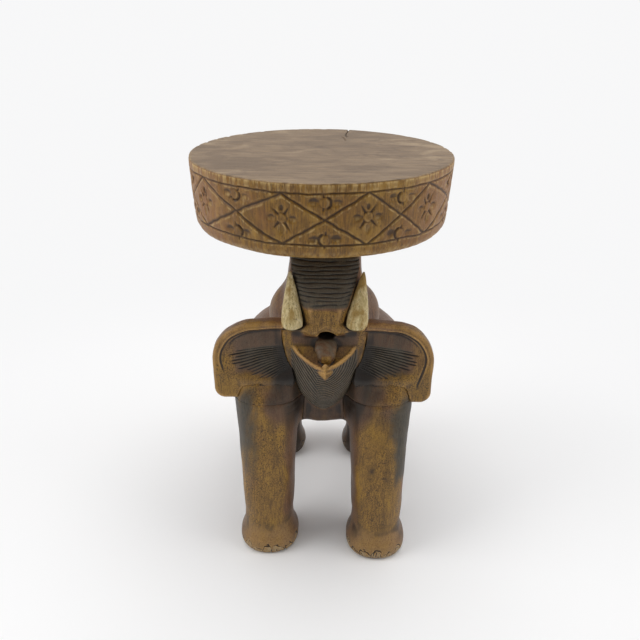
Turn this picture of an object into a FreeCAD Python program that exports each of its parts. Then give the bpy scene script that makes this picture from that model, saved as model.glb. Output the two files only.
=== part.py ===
import FreeCAD, Part
import math
import os
import re

import Sketcher
from FreeCAD import Placement, Rotation, Vector

# A carved elephant stool, in millimetres. The floor is at height 0 and the seat's axis is the
# vertical axis. The elephant looks along -Y, so its own left is +X.

SIZES = {
    # The whole stool
    "stool_height": 460,
    "seat_diameter": 290,
    "animal_shift": 5,
    # The seat drum
    "drum_thickness": 75,
    "drum_foot_diameter": 280,
    "drum_foot_round": 9,
    "drum_top_round": 1.5,
    "rim_line_width": 4,
    "rim_line_depth": 2,
    "upper_line_drop": 9.5,
    "lower_line_drop": 60,
    "lozenges": 11,
    "lozenge_turn": -15.5,
    "lattice_width": 5,
    "lattice_depth": 3.6,
    # The front legs
    "leg_spread": 131,
    "front_foot_y": -98,
    "left_foot_lead": 8,
    "front_shoulder_y": -70,
    "front_leg_height": 200,
    "sole_width": 66,
    "foot_width": 71,
    "ankle_width": 59,
    "knee_width": 64,
    "front_thigh_width": 78,
    # The rear legs
    "rear_foot_y": 88,
    "rear_hip_y": 82,
    "rear_leg_height": 190,
    "rear_thigh_width": 80,
    # The torso
    "barrel_middle": 211,
    "barrel_width": 201,
    "barrel_height": 139,
    "chest_y": -80,
    "rump_y": 138,
    "shoulder_rise": 43,
    "shoulder_lean": 8,
    "haunch_rise": 44,
    "haunch_lean": 3,
    "tail_y": 137,
    "tail_top": 226,
    "tail_bottom": 158,
    "tail_width": 14,
    # The head
    "skull_middle": 288,
    "skull_width": 126,
    "skull_height": 98,
    "skull_depth": 90,
    "skull_y": -48,
    "neck_y": -42,
    "nape_height": 278,
    "lip_height": 291,
    "lip_width": 88,
    "lip_front": -107,
    "jaw_front": -127,
    "jaw_height": 257,
    "jaw_width": 74,
    "chin_height": 178,
    "mouth_width": 56,
    "mouth_back": -86,
    "mouth_floor": 268,
    "tongue_width": 24,
    "trunk_root_width": 54,
    "trunk_top_width": 77,
    "trunk_top_front": -66,
    "trunk_top_back": 25,
    # The ears
    "ear_reach": 123,
    "ear_root": 38,
    "ear_top": 298,
    "ear_bottom": 200,
    "ear_lobe": 97,
    "ear_back": 80,
    "ear_thickness": 17,
    "ear_crown_round": 44,
    "ear_lobe_round": 6,
    "ear_rim": 9,
    "ear_field_depth": 2.5,
    # The tusks
    "tusk_base_width": 22,
    "tusk_tip_width": 4,
    "tusk_base_x": 33.6,
    "tusk_base_y": -104,
    "tusk_base_z": 293,
    "tusk_tip_x": 38.5,
    "tusk_tip_y": -89,
    "tusk_tip_z": 354,
    "tusk_tenon_width": 10,
    "tusk_tenon_length": 18,
    # The dowels
    "seat_dowel_width": 12,
    "seat_dowel_length": 44,
    "neck_dowel_width": 12,
    "neck_dowel_length": 56,
    "leg_dowel_width": 16,
    "leg_dowel_length": 60,
    "ear_dowel_y": -84,
    "ear_dowel_width": 6,
    "ear_dowel_length": 34,
}

SIDES = {"left": 1, "right": -1}
ORIGIN_POINT = (-1, 1)
START, END = 1, 2

doc = FreeCAD.newDocument("ElephantStool")
parts = {}


# Formulas and the sheet

def fill_sheet():
    """Writes every driving dimension to the spreadsheet, one row each."""
    sheet = doc.addObject("Spreadsheet::Sheet", "Sizes")
    for row, (name, value) in enumerate(SIZES.items(), start=1):
        sheet.set(f"A{row}", name)
        sheet.set(f"B{row}", str(value))
        sheet.setAlias(f"B{row}", name)
    doc.recompute()


def bound(item, path, formula):
    """Binds a property to a formula in which the names of sizes stand for the sheet's cells."""
    def cell_or_word(found):
        word = found.group()
        return f"Sizes.{word}" if word in SIZES else word
    item.setExpression(path, re.sub(r"[a-z_]+", cell_or_word, str(formula)))


def value(formula):
    """A formula's value, for geometry that is drawn before it is bound."""
    return float(doc.Sizes.evalExpression(str(formula)))


def place(item, x, y, z):
    """Binds an object's position."""
    for axis, formula in (("x", x), ("y", y), ("z", z)):
        bound(item, f"Placement.Base.{axis}", formula)


def beside(side, distance):
    """The x of what lies this far from the animal's middle, on one side."""
    return f"animal_shift + {SIDES[side]} * ({distance})"


def between(first, last, share):
    """The value a share of the way from the first formula to the last."""
    return f"({first}) + (({last}) - ({first})) * {share}"


# Sections, lofts and booleans

def oval(name, long_radius, short_radius, x, y, z, upright=False):
    """An ellipse that lies flat, long along Y, or stands upright, long along X."""
    section = doc.addObject("Part::Ellipse", name)
    bound(section, "MajorRadius", long_radius)
    bound(section, "MinorRadius", short_radius)
    section.Placement.Rotation = (Rotation(Vector(1, 0, 0), 90) if upright
                                  else Rotation(Vector(0, 0, 1), 90))
    place(section, x, y, z)
    return section


def hold(sketch, name, kind, where, formula):
    """Adds one named measure from the sketch's origin to a point of it."""
    index = sketch.addConstraint(Sketcher.Constraint(kind, *ORIGIN_POINT, *where, value(formula)))
    sketch.renameConstraint(index, name)
    bound(sketch, f"Constraints.{name}", formula)


def round_box(name, half_x, front, back, corner, z):
    """A flat rectangle with round corners about the animal's middle, from front to back."""
    sketch = doc.addObject("Sketcher::SketchObject", name)
    place(sketch, "animal_shift", "0", z)
    bend = value(corner)
    side, near, far = value(half_x) - bend, value(front) + bend, value(back) - bend
    middles = [Vector(side, near, 0), Vector(side, far, 0), Vector(-side, far, 0), Vector(-side, near, 0)]
    for quarter, middle in enumerate(middles):
        start = math.radians(90 * quarter - 90)
        arc = Part.ArcOfCircle(Part.Circle(middle, Vector(0, 0, 1), bend), start, start + math.pi / 2)
        sketch.addGeometry(arc)
    for quarter in range(4):
        after = (quarter + 1) % 4
        ends = [sketch.getPoint(quarter, END), sketch.getPoint(after, START)]
        sketch.addGeometry(Part.LineSegment(*ends))
    for quarter in range(4):
        line = 4 + quarter
        sketch.addConstraint(Sketcher.Constraint("Tangent", quarter, END, line, START))
        sketch.addConstraint(Sketcher.Constraint("Tangent", line, END, (quarter + 1) % 4, START))
        sketch.addConstraint(Sketcher.Constraint("Vertical" if quarter % 2 == 0 else "Horizontal", line))
    for quarter in (1, 2, 3):
        sketch.addConstraint(Sketcher.Constraint("Equal", 0, quarter))
    bend_index = sketch.addConstraint(Sketcher.Constraint("Radius", 0, bend))
    sketch.renameConstraint(bend_index, "corner")
    bound(sketch, "Constraints.corner", corner)
    hold(sketch, "right", "DistanceX", (4, START), half_x)
    hold(sketch, "back", "DistanceY", (5, START), back)
    hold(sketch, "left", "DistanceX", (6, START), f"-({half_x})")
    hold(sketch, "front", "DistanceY", (7, START), front)
    return sketch


def loft(name, sections):
    """A smooth solid through sections."""
    body = doc.addObject("Part::Loft", name)
    body.Sections = sections
    body.Solid = True
    return body


def cylinder(name, width, length, x, y, z, along="z"):
    """A cylinder whose middle lies at a point."""
    rod = doc.addObject("Part::Cylinder", name)
    bound(rod, "Radius", f"({width}) / 2")
    bound(rod, "Height", length)
    middle = {"x": x, "y": y, "z": z}
    middle[along] = f"({middle[along]}) - ({length}) / 2"
    if along == "x":
        rod.Placement.Rotation = Rotation(Vector(0, 1, 0), 90)
    if along == "y":
        rod.Placement.Rotation = Rotation(Vector(1, 0, 0), -90)
    place(rod, **middle)
    return rod


def joined(name, shapes):
    """One solid from several that overlap."""
    whole = doc.addObject("Part::MultiFuse", name)
    whole.Shapes = shapes
    return whole


def grouped(name, shapes):
    """Several separate solids as one object."""
    group = doc.addObject("Part::Compound", name)
    group.Links = shapes
    return group


def without(name, whole, tools):
    """A solid with every tool's space taken out, one tool after the other."""
    for number, tool in enumerate(tools, start=1):
        rest = doc.addObject("Part::Cut", name if number == len(tools) else f"{name}_step_{number}")
        rest.Base = whole
        rest.Tool = tool
        whole = rest
    return whole


def keep(node, item):
    """Names an object as a sub-part that gets a file of its own."""
    item.Label = node
    parts[node] = item
    return item


# Bodies with sketches

def origin_plane(body, role):
    return next(item for item in body.Origin.OriginFeatures if item.Role == role)


def polygon(body, name, role, points, offset="0"):
    """A closed sketch of straight lines on one of the body's own planes, each corner held."""
    sketch = body.newObject("Sketcher::SketchObject", name)
    sketch.AttachmentSupport = [(origin_plane(body, role), "")]
    sketch.MapMode = "FlatFace"
    bound(sketch, "AttachmentOffset.Base.z", offset)
    corners = [Vector(value(across), value(up), 0) for across, up in points]
    for number, start in enumerate(corners):
        sketch.addGeometry(Part.LineSegment(start, corners[(number + 1) % len(corners)]))
    for number, (across, up) in enumerate(points):
        after = (number + 1) % len(points)
        sketch.addConstraint(Sketcher.Constraint("Coincident", number, END, after, START))
        hold(sketch, f"across_{number}", "DistanceX", (number, START), across)
        hold(sketch, f"up_{number}", "DistanceY", (number, START), up)
    return sketch


def round_edges(body, name, wanted, radius):
    """Rounds the edges of the body's tip that the test picks."""
    doc.recompute()
    tip = body.Tip
    names = [f"Edge{number}" for number, edge in enumerate(tip.Shape.Edges, start=1) if wanted(edge)]
    if not names:
        raise RuntimeError(f"{name} finds no edge")
    soft = body.newObject("PartDesign::Fillet", name)
    soft.Base = (tip, names)
    bound(soft, "Radius", radius)
    return soft


# The seat drum

def wall_radius(height):
    """The drum's radius at a height: its wall leans out a little towards the top."""
    return (f"(seat_diameter - (seat_diameter - drum_foot_diameter)"
            f" * (stool_height - ({height})) / drum_thickness) / 2")


def line_corners(drop):
    """Three corners of the small V that is cut round the wall, this far below the top."""
    height = f"stool_height - {drop}"
    low, high = f"{height} - rim_line_width / 2", f"{height} + rim_line_width / 2"
    return [(wall_radius(low), low),
            (f"{wall_radius(height)} - rim_line_depth", height),
            (wall_radius(high), high)]


def lattice_cut(body, name, from_turn, to_turn, from_height, to_height):
    """A straight V cut across the wall, repeated once for each lozenge."""
    middle_turn = math.radians((from_turn + to_turn) / 2)
    half_span = math.radians((to_turn - from_turn) / 2)
    middle_height = (from_height + to_height) / 2
    drop = (SIZES["stool_height"] - middle_height) / SIZES["drum_thickness"]
    radius = (SIZES["seat_diameter"] - (SIZES["seat_diameter"] - SIZES["drum_foot_diameter"]) * drop) / 2
    outward = Vector(math.sin(middle_turn), -math.cos(middle_turn), 0)
    sideways = Vector(math.cos(middle_turn), math.sin(middle_turn), 0)
    run = sideways * (2 * radius * math.sin(half_span)) + Vector(0, 0, to_height - from_height)
    length = run.Length
    run.normalize()

    sketch = body.newObject("Sketcher::SketchObject", f"{name}_section")
    sketch.AttachmentSupport = [(origin_plane(body, "XY_Plane"), "")]
    sketch.MapMode = "FlatFace"
    sketch.AttachmentOffset = Placement(outward * radius + Vector(0, 0, middle_height),
                                        Rotation(outward, run.cross(outward), run, "ZXY"))
    depth, half_width = SIZES["lattice_depth"], SIZES["lattice_width"] / 2
    corners = [Vector(-depth, 0, 0), Vector(depth, 2 * half_width, 0), Vector(depth, -2 * half_width, 0)]
    for number in range(3):
        sketch.addGeometry(Part.LineSegment(corners[number], corners[(number + 1) % 3]))
    for number in range(3):
        sketch.addConstraint(Sketcher.Constraint("Coincident", number, END, (number + 1) % 3, START))
    cut = body.newObject("PartDesign::Pocket", name)
    cut.Profile = sketch
    cut.Length = length
    cut.Midplane = True

    ring = body.newObject("PartDesign::PolarPattern", f"{name}_ring")
    ring.Originals = [cut]
    ring.Axis = (next(item for item in body.Origin.OriginFeatures if item.Role == "Z_Axis"), [""])
    ring.Angle = 360
    bound(ring, "Occurrences", "lozenges")
    body.Tip = ring
    doc.recompute()


def seat_drum():
    """The thick round seat: a turned drum with two lines and a lattice of lozenges cut round it."""
    body = doc.addObject("PartDesign::Body", "SeatDrum")
    foot = "stool_height - drum_thickness"
    profile = [("0", foot), ("drum_foot_diameter / 2", foot)]
    profile += line_corners("lower_line_drop") + line_corners("upper_line_drop")
    profile += [("seat_diameter / 2", "stool_height"), ("0", "stool_height")]
    turned = body.newObject("PartDesign::Revolution", "DrumTurned")
    sketch = polygon(body, "DrumProfile", "XZ_Plane", profile)
    turned.Profile = sketch
    turned.ReferenceAxis = (sketch, ["V_Axis"])
    turned.Angle = 360
    body.Tip = turned

    def rim_at(height):
        return lambda edge: abs(edge.BoundBox.ZMin - height) < 0.01 and abs(edge.BoundBox.ZMax - height) < 0.01 \
            and edge.BoundBox.XLength > SIZES["drum_foot_diameter"] - 1
    top = SIZES["stool_height"]
    round_edges(body, "DrumFootRound", rim_at(top - SIZES["drum_thickness"]), "drum_foot_round")
    round_edges(body, "DrumTopRound", rim_at(top), "drum_top_round")

    plain = body.Shape.Volume
    low = top - SIZES["lower_line_drop"]
    high = top - SIZES["upper_line_drop"]
    half_pitch = 180 / SIZES["lozenges"]
    apex = SIZES["lozenge_turn"]
    for number, (sign, end) in enumerate([(1, high), (-1, high), (1, low), (-1, low)], start=1):
        lattice_cut(body, f"Lattice{number}", apex, apex + sign * half_pitch, end, (low + high) / 2)
    if body.Shape.Volume >= plain:
        raise RuntimeError("the lattice cuts nothing")
    return body


# The legs

def leg(node, side, foot_y, top_y, height, top_width):
    """A column leg: a sole, a bulging foot, a drawn-in ankle, and a thigh that leans to the body."""
    x = beside(side, "leg_spread / 2")
    stations = [
        # Height, width, share of the lean, depth for a width of one
        ("0", "sole_width", 0, 1.03),
        ("11", "foot_width", 0, 1.03),
        ("25", between("foot_width", "ankle_width", 0.5), 0, 1.02),
        ("40", "ankle_width", 0.03, 1.01),
        (between("40", height, 0.35), "knee_width", 0.22, 1.01),
        (between("40", height, 0.7), between("knee_width", top_width, 0.5), 0.6, 1.01),
        (height, top_width, 1, 1.01),
    ]
    sections = []
    for number, (level, width, lean, depth) in enumerate(stations):
        y = between(foot_y, top_y, lean)
        sections.append(oval(f"{node}_oval_{number}", f"({width}) / 2 * {depth}", f"({width}) / 2", x, y, level))
    return loft(f"{node}_column", sections)


# The torso

def barrel():
    """The trunk of the body, from the chest to the rump, as upright ovals."""
    stations = [
        # Place along Y, share of the full width, share of the full height, height of the middle
        ("chest_y", 0.66, 0.80, "barrel_middle + 2"),
        ("chest_y + 25", 0.87, 0.94, "barrel_middle + 2"),
        ("chest_y + 68", 1.00, 1.00, "barrel_middle"),
        ("chest_y + 105", 0.99, 0.97, "barrel_middle - 1"),
        ("rump_y - 80", 0.94, 0.81, "barrel_middle - 5"),
        ("rump_y - 36", 0.82, 0.68, "barrel_middle - 11"),
        ("rump_y - 11", 0.58, 0.52, "barrel_middle - 15"),
        ("rump_y", 0.26, 0.25, "barrel_middle - 17"),
    ]
    sections = []
    for number, (y, wide, high, middle) in enumerate(stations):
        sections.append(oval(f"barrel_oval_{number}", f"barrel_width / 2 * {wide}", f"barrel_height / 2 * {high}",
                             "animal_shift", y, middle, upright=True))
    return loft("barrel", sections)


def hump(name, side, base, y, width, inward):
    """The hump above a leg, which carries the thigh's shape on into the barrel and leans back."""
    stations = [
        # Share of the rise, share of the width
        (0, 1),
        (0.4, 0.94),
        (0.75, 0.76),
        (1, 0.46),
    ]
    sections = []
    for number, (share, full) in enumerate(stations):
        radius = f"{width} / 2 * {full}"
        x = beside(side, f"leg_spread / 2 - ({inward}) * {share ** 2}")
        sections.append(oval(f"{side}_{name}_{number}", f"{radius} * 1.01", radius, x,
                             f"{y} + {name}_lean * {share}", f"{base} + {name}_rise * {share}"))
    return loft(f"{side}_{name}", sections)


def tail():
    """The tail, carved on the rump down to its tuft above the rear legs."""
    stations = [
        # Share of the way down, place along Y, width
        (0, "tail_y - 12", "tail_width"),
        (0.25, "tail_y - 3", "tail_width * 0.95"),
        (0.5, "tail_y", "tail_width * 0.8"),
        (0.75, "tail_y - 2", "tail_width * 0.8"),
        (0.92, "tail_y - 6", "tail_width"),
        (1, "tail_y - 9", "tail_width * 0.5"),
    ]
    sections = []
    for number, (share, y, width) in enumerate(stations):
        sections.append(oval(f"tail_oval_{number}", f"({width}) / 2", f"({width}) / 2 * 0.95",
                             f"animal_shift + 8 * {share}", y, between("tail_top", "tail_bottom", share)))
    return loft("tail", sections)


# The head

def head_block():
    """The skull, the cheeks with the upper lip, the chin and the raised trunk, as one solid."""
    skull = doc.addObject("Part::Ellipsoid", "skull")
    bound(skull, "Radius1", "skull_height / 2")
    bound(skull, "Radius2", "skull_width / 2")
    bound(skull, "Radius3", "skull_depth / 2")
    skull.Angle1 = -90
    place(skull, "animal_shift", "skull_y", "skull_middle")

    cheeks = loft("cheeks", [
        round_box("cheeks_low", "lip_width / 2 * 0.88", "lip_front + 13", "neck_y", "16", "mouth_floor - 14"),
        round_box("cheeks_lip", "lip_width / 2", "lip_front", "neck_y", "16", "lip_height - 2"),
        round_box("cheeks_top", "lip_width / 2 * 0.9", "lip_front + 8", "neck_y", "16", "lip_height + 8"),
    ])
    chin = loft("chin", [
        round_box("chin_tip", "jaw_width * 0.17", "jaw_front + 35", "neck_y", "10", "chin_height"),
        round_box("chin_low", "jaw_width * 0.37", "jaw_front + 25", "neck_y", "20", "chin_height + 24"),
        round_box("chin_high", "jaw_width * 0.46", "jaw_front + 13", "neck_y", "24", "jaw_height - 22"),
        round_box("chin_jaw", "jaw_width / 2", "jaw_front", "neck_y", "32", "jaw_height"),
        round_box("chin_rim", "jaw_width / 2", "jaw_front + 12", "neck_y", "30", "mouth_floor"),
    ])
    trunk_low = "lip_height - 6"
    trunk = loft("trunk", [
        round_box("trunk_root", "trunk_root_width / 2", "lip_front", "skull_y + 28", "8", trunk_low),
        round_box("trunk_third", "trunk_root_width / 2 * 1.04", "lip_front + 5", "skull_y + 38", "8",
                  between(trunk_low, "stool_height - drum_thickness", 0.36)),
        round_box("trunk_waist", "trunk_top_width / 2 * 0.88", "trunk_top_front - 21", "skull_y + 52", "9",
                  between(trunk_low, "stool_height - drum_thickness", 0.68)),
        round_box("trunk_top", "trunk_top_width / 2", "trunk_top_front", "trunk_top_back", "9",
                  "stool_height - drum_thickness"),
    ])
    return joined("head_block", [skull, cheeks, chin, trunk])


def mouth_space():
    """The open mouth, a wedge that is higher in front."""
    return loft("mouth_space", [
        round_box("mouth_low", "mouth_width / 2", "jaw_front - 20", "mouth_back", "4", "mouth_floor"),
        round_box("mouth_high", "mouth_width / 2", "jaw_front - 20", "mouth_back", "4", "lip_height - 3"),
    ])


def tongue():
    """The tongue, which lies on the floor of the mouth."""
    shape = doc.addObject("Part::Ellipsoid", "tongue")
    bound(shape, "Radius1", "tongue_width / 2 * 0.7")
    bound(shape, "Radius2", "tongue_width / 2")
    bound(shape, "Radius3", "tongue_width * 0.8")
    shape.Angle1 = -90
    place(shape, "animal_shift", "mouth_back - 6", "mouth_floor + 1")
    return shape


def nape_space():
    """The space behind the neck, which the torso fills."""
    box = doc.addObject("Part::Box", "nape_space")
    for side in ("Length", "Width"):
        bound(box, side, "seat_diameter")
    bound(box, "Height", "nape_height")
    place(box, "-seat_diameter / 2", "neck_y", "0")
    return box


# The tusks and the ears

def tusk(side):
    """A pale tapering peg that leans with the trunk, with a round tenon under it."""
    name = f"{side}_tusk"
    stations = [(0, 0.8), (0.07, 0.97), (0.2, 1), (0.45, 0.82), (0.75, 0.5), (1, 0)]
    sections = []
    for number, (share, full) in enumerate(stations):
        width = between("tusk_tip_width", "tusk_base_width", full)
        sections.append(oval(f"{name}_oval_{number}", f"({width}) / 2 * 1.02", f"({width}) / 2",
                             beside(side, between("tusk_base_x", "tusk_tip_x", share)),
                             between("tusk_base_y", "tusk_tip_y", share),
                             between("tusk_base_z", "tusk_tip_z", share)))
    horn = loft(f"{name}_horn", sections)
    sunk = 3
    tenon = cylinder(f"{name}_tenon", "tusk_tenon_width", f"tusk_tenon_length + {sunk}",
                     beside(side, "tusk_base_x - 1"), "tusk_base_y + 4",
                     f"tusk_base_z + {sunk} - (tusk_tenon_length + {sunk}) / 2")
    return joined(name, [horn, tenon])


def ear(side):
    """A flat ear that faces forward: a slab with a round crown, a lobe and a sunk field."""
    body = doc.addObject("PartDesign::Body", f"{side.title()}EarSlab")
    floor = "front_leg_height + 4"
    outline = [("ear_root", floor), ("ear_root", "ear_top"), ("ear_reach", "ear_top"),
               ("ear_reach - 1", "ear_bottom"), ("ear_lobe", "ear_bottom"), ("ear_lobe - 4", floor)]
    rim = "ear_rim"
    field = [("ear_root", f"{floor} + 24"), ("ear_root", f"ear_top - {rim}"),
             (f"ear_reach - {rim}", f"ear_top - {rim}"), (f"ear_reach - {rim} - 1", "ear_bottom + 24")]
    sketch = polygon(body, f"{side}_ear_outline", "XZ_Plane",
                     [(beside(side, x), z) for x, z in outline], "ear_back")
    slab = body.newObject("PartDesign::Pad", f"{side}_ear_pad")
    slab.Profile = sketch
    bound(slab, "Length", "ear_thickness")
    body.Tip = slab
    doc.recompute()
    plain = body.Shape.Volume
    inner = polygon(body, f"{side}_ear_field", "XZ_Plane",
                    [(beside(side, x), z) for x, z in field], "ear_back + ear_thickness")
    sunk = body.newObject("PartDesign::Pocket", f"{side}_ear_pocket")
    sunk.Profile = inner
    bound(sunk, "Length", "ear_field_depth")
    body.Tip = sunk
    doc.recompute()
    if body.Shape.Volume >= plain:
        raise RuntimeError("the ear's field cuts nothing")

    middle = SIZES["animal_shift"]
    reach, top, low = SIZES["ear_reach"], SIZES["ear_top"], SIZES["ear_bottom"]
    rim_width = SIZES["ear_rim"]

    def stands_at(*corners):
        """Picks the edges that run along Y through these corners."""
        def test(edge):
            box = edge.BoundBox
            if box.YLength < SIZES["ear_field_depth"] - 0.1 or box.XLength > 0.1 or box.ZLength > 0.1:
                return False
            x = SIDES[side] * (box.XMin - middle)
            return any(abs(x - corner_x) < 0.2 and abs(box.ZMin - corner_z) < 0.2 for corner_x, corner_z in corners)
        return test
    round_edges(body, f"{side}_ear_crown", stands_at((reach, top)), "ear_crown_round")
    round_edges(body, f"{side}_ear_inner_crown", stands_at((reach - rim_width, top - rim_width)),
                "ear_crown_round - ear_rim")
    lobe = ((reach - 1, low), (SIZES["ear_lobe"], low))
    round_edges(body, f"{side}_ear_lobe", stands_at(*lobe), "ear_lobe_round")
    doc.recompute()
    return body


# The hidden dowels

def dowels():
    """Every dowel, in one group for each kind of joint."""
    seat_foot = "stool_height - drum_thickness"
    seat_spots = [("animal_shift - 20", "trunk_top_front + 22"), ("animal_shift + 20", "trunk_top_front + 22"),
                  ("animal_shift", "trunk_top_back - 30")]
    seat = [cylinder(f"seat_dowel_{number}", "seat_dowel_width", "seat_dowel_length", x, y, seat_foot)
            for number, (x, y) in enumerate(seat_spots)]
    neck = [cylinder(f"{side}_neck_dowel", "neck_dowel_width", "neck_dowel_length", beside(side, "18"), "neck_y",
                     "barrel_middle + 20", along="y") for side in SIDES]
    legs = []
    for side in SIDES:
        x = beside(side, "leg_spread / 2 - 6")
        legs.append(cylinder(f"front_{side}_leg_dowel", "leg_dowel_width", "leg_dowel_length", x,
                             "front_shoulder_y + 8", "front_leg_height"))
        legs.append(cylinder(f"rear_{side}_leg_dowel", "leg_dowel_width", "leg_dowel_length", x,
                             "rear_hip_y - 6", "rear_leg_height"))
    ears = [cylinder(f"{side}_ear_dowel_{number}", "ear_dowel_width", "ear_dowel_length",
                     beside(side, "lip_width / 2"), "ear_dowel_y", height, along="x")
            for side in SIDES for number, height in enumerate(("mouth_floor - 20", "mouth_floor + 14"))]
    return {
        "seat_dowels": grouped("SeatDowels", seat),
        "neck_dowels": grouped("NeckDowels", neck),
        "leg_dowels": grouped("LegDowels", legs),
        "ear_dowels": grouped("EarDowels", ears),
    }


# The assembly

def build():
    """Makes every sub-part and cuts each joint to its neighbours."""
    fill_sheet()
    pegs = dowels()
    drum = seat_drum()
    columns = {}
    for side in SIDES:
        lead = " - left_foot_lead" if side == "left" else ""
        columns[f"front_{side}_leg"] = leg(f"front_{side}_leg", side, f"front_foot_y{lead}", "front_shoulder_y",
                                           "front_leg_height", "front_thigh_width")
        columns[f"rear_{side}_leg"] = leg(f"rear_{side}_leg", side, "rear_foot_y", "rear_hip_y",
                                          "rear_leg_height", "rear_thigh_width")
    tusks = {side: tusk(side) for side in SIDES}
    carved = without("carved_head", head_block(), [mouth_space(), nape_space()])
    head = joined("head_with_tongue", [carved, tongue()])
    shoulders = {side: hump("shoulder", side, "front_leg_height", "front_shoulder_y", "front_thigh_width",
                            "front_thigh_width / 6") for side in SIDES}
    haunches = [hump("haunch", side, "rear_leg_height", "rear_hip_y", "rear_thigh_width",
                     "rear_thigh_width / 5") for side in SIDES]
    body = joined("torso_block", [barrel(), *shoulders.values(), *haunches, tail()])
    torso = without("torso_housed", body, [*columns.values(), head])

    keep("seat_drum", without("SeatDrumBored", drum, [pegs["seat_dowels"]]))
    keep("head_and_trunk", without("HeadBored", head, [tusks["left"], tusks["right"], pegs["seat_dowels"],
                                                       pegs["neck_dowels"], pegs["ear_dowels"]]))
    keep("torso", without("TorsoBored", torso, [pegs["neck_dowels"], pegs["leg_dowels"]]))
    for node, column in columns.items():
        keep(node, without(f"{node}_bored", column, [pegs["leg_dowels"]]))
    for side in SIDES:
        keep(f"{side}_ear", without(f"{side}_ear_fitted", ear(side), [head, shoulders[side],
                                                                     pegs["ear_dowels"]]))
        keep(f"{side}_tusk", tusks[side])
    for node, pins in pegs.items():
        keep(node, pins)
    doc.recompute()


def check():
    """Stops if any object failed, or a sub-part isn't the solids that it should be."""
    for item in doc.Objects:
        if "Invalid" in item.State or "Error" in item.State:
            raise RuntimeError(f"{item.Name} failed: {item.State}")
    for node, item in parts.items():
        shape = item.Shape
        if shape.isNull() or not shape.isValid():
            raise RuntimeError(f"{node} has no valid shape")
        box = shape.BoundBox
        print(f"{node:18s} solids {len(shape.Solids)} volume {shape.Volume / 1000:8.1f} cm3 "
              f"x {box.XMin:7.1f} {box.XMax:7.1f} y {box.YMin:7.1f} {box.YMax:7.1f} z {box.ZMin:7.1f} {box.ZMax:7.1f}")
        if not node.endswith("dowels") and len(shape.Solids) != 1:
            raise RuntimeError(f"{node} isn't one solid")


def write():
    os.makedirs("parts", exist_ok=True)
    for node, item in parts.items():
        item.Shape.exportStep(os.path.join("parts", f"{node}.step"))


build()
check()
write()
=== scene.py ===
import math
from functools import partial, reduce
from types import SimpleNamespace

import bmesh
import bpy
import numpy as np
from mathutils import Matrix, Vector


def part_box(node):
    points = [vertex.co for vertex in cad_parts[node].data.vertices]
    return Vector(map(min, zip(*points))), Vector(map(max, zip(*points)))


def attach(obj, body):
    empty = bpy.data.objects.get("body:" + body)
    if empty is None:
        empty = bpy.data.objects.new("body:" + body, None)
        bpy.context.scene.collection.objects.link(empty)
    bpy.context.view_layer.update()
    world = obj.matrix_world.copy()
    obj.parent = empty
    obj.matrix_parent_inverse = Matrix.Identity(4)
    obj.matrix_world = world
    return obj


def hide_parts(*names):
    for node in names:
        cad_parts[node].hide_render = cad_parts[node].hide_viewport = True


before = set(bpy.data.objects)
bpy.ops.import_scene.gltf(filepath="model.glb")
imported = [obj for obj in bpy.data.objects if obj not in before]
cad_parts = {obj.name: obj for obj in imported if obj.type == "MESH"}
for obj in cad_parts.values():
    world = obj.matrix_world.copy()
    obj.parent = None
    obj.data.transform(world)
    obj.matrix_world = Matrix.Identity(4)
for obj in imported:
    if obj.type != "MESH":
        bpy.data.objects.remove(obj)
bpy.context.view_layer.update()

# Sizes are in millimetres, in the frame's axes: the floor is at 0, the elephant looks along -Y.
MM = 0.001


def cad_size(node):
    """The low and high corners of a CAD node, in millimetres."""
    low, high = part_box(node)
    return np.array(low) / MM, np.array(high) / MM


DRUM_LOW, DRUM_HIGH = cad_size("seat_drum")
SEAT_RADIUS = (DRUM_HIGH[0] - DRUM_LOW[0]) / 2
SEAT_TOP = DRUM_HIGH[2]
SEAT_FOOT = DRUM_LOW[2]
HEAD_LOW, HEAD_HIGH = cad_size("head_and_trunk")
MIDDLE = (HEAD_LOW[0] + HEAD_HIGH[0]) / 2
FROM_MIDDLE = np.array([MIDDLE, 0, 0])
SIDES = {"left": 1, "right": -1}


# Shapes as fields: a field is negative inside a shape and roughly the distance outside it.
# The animal's fields and tools take x from its middle.

def through(at, knots, values):
    """A smooth curve through values at knots, flat beyond both ends."""
    knots, values = np.array(knots, float), np.array(values, float)
    rises = np.gradient(values, knots)
    at = np.clip(at, knots[0], knots[-1])
    left = np.clip(np.searchsorted(knots, at, side="right") - 1, 0, len(knots) - 2)
    span = knots[left + 1] - knots[left]
    s = (at - knots[left]) / span
    curve = ((2 * s**3 - 3 * s**2 + 1) * values[left] + (s**3 - 2 * s**2 + s) * span * rises[left]
             + (3 * s**2 - 2 * s**3) * values[left + 1] + (s**3 - s**2) * span * rises[left + 1])
    return curve.astype(np.float32)


def curves(at, knots, *rows):
    """Several smooth curves through the same knots."""
    return [through(at, knots, values) for values in rows]


def join(a, b, soft):
    """Both shapes, with a fillet."""
    share = np.clip(0.5 + 0.5 * (b - a) / soft, 0, 1)
    return b + (a - b) * share - soft * share * (1 - share)


def common(a, b, soft):
    """What lies in both shapes, with a rounded edge."""
    return -join(-a, -b, soft)


def carve(a, b, soft):
    """The first shape without the second, with a rounded edge."""
    return -join(-a, b, soft)


def trim(shape, *ends):
    """A shape cut off by several others, each with its own rounding."""
    for end, soft in ends:
        shape = common(shape, end, soft)
    return shape


def greatest(*values):
    """The largest of several values, point by point."""
    return reduce(np.maximum, values)


def oval(across, along, half_across, half_along, power=2.0):
    """A tube with an oval section, boxier for a higher power."""
    ratio = (np.abs(across / half_across) ** power + np.abs(along / half_along) ** power) ** (1 / power)
    return (ratio - 1) * np.minimum(half_across, half_along)


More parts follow.
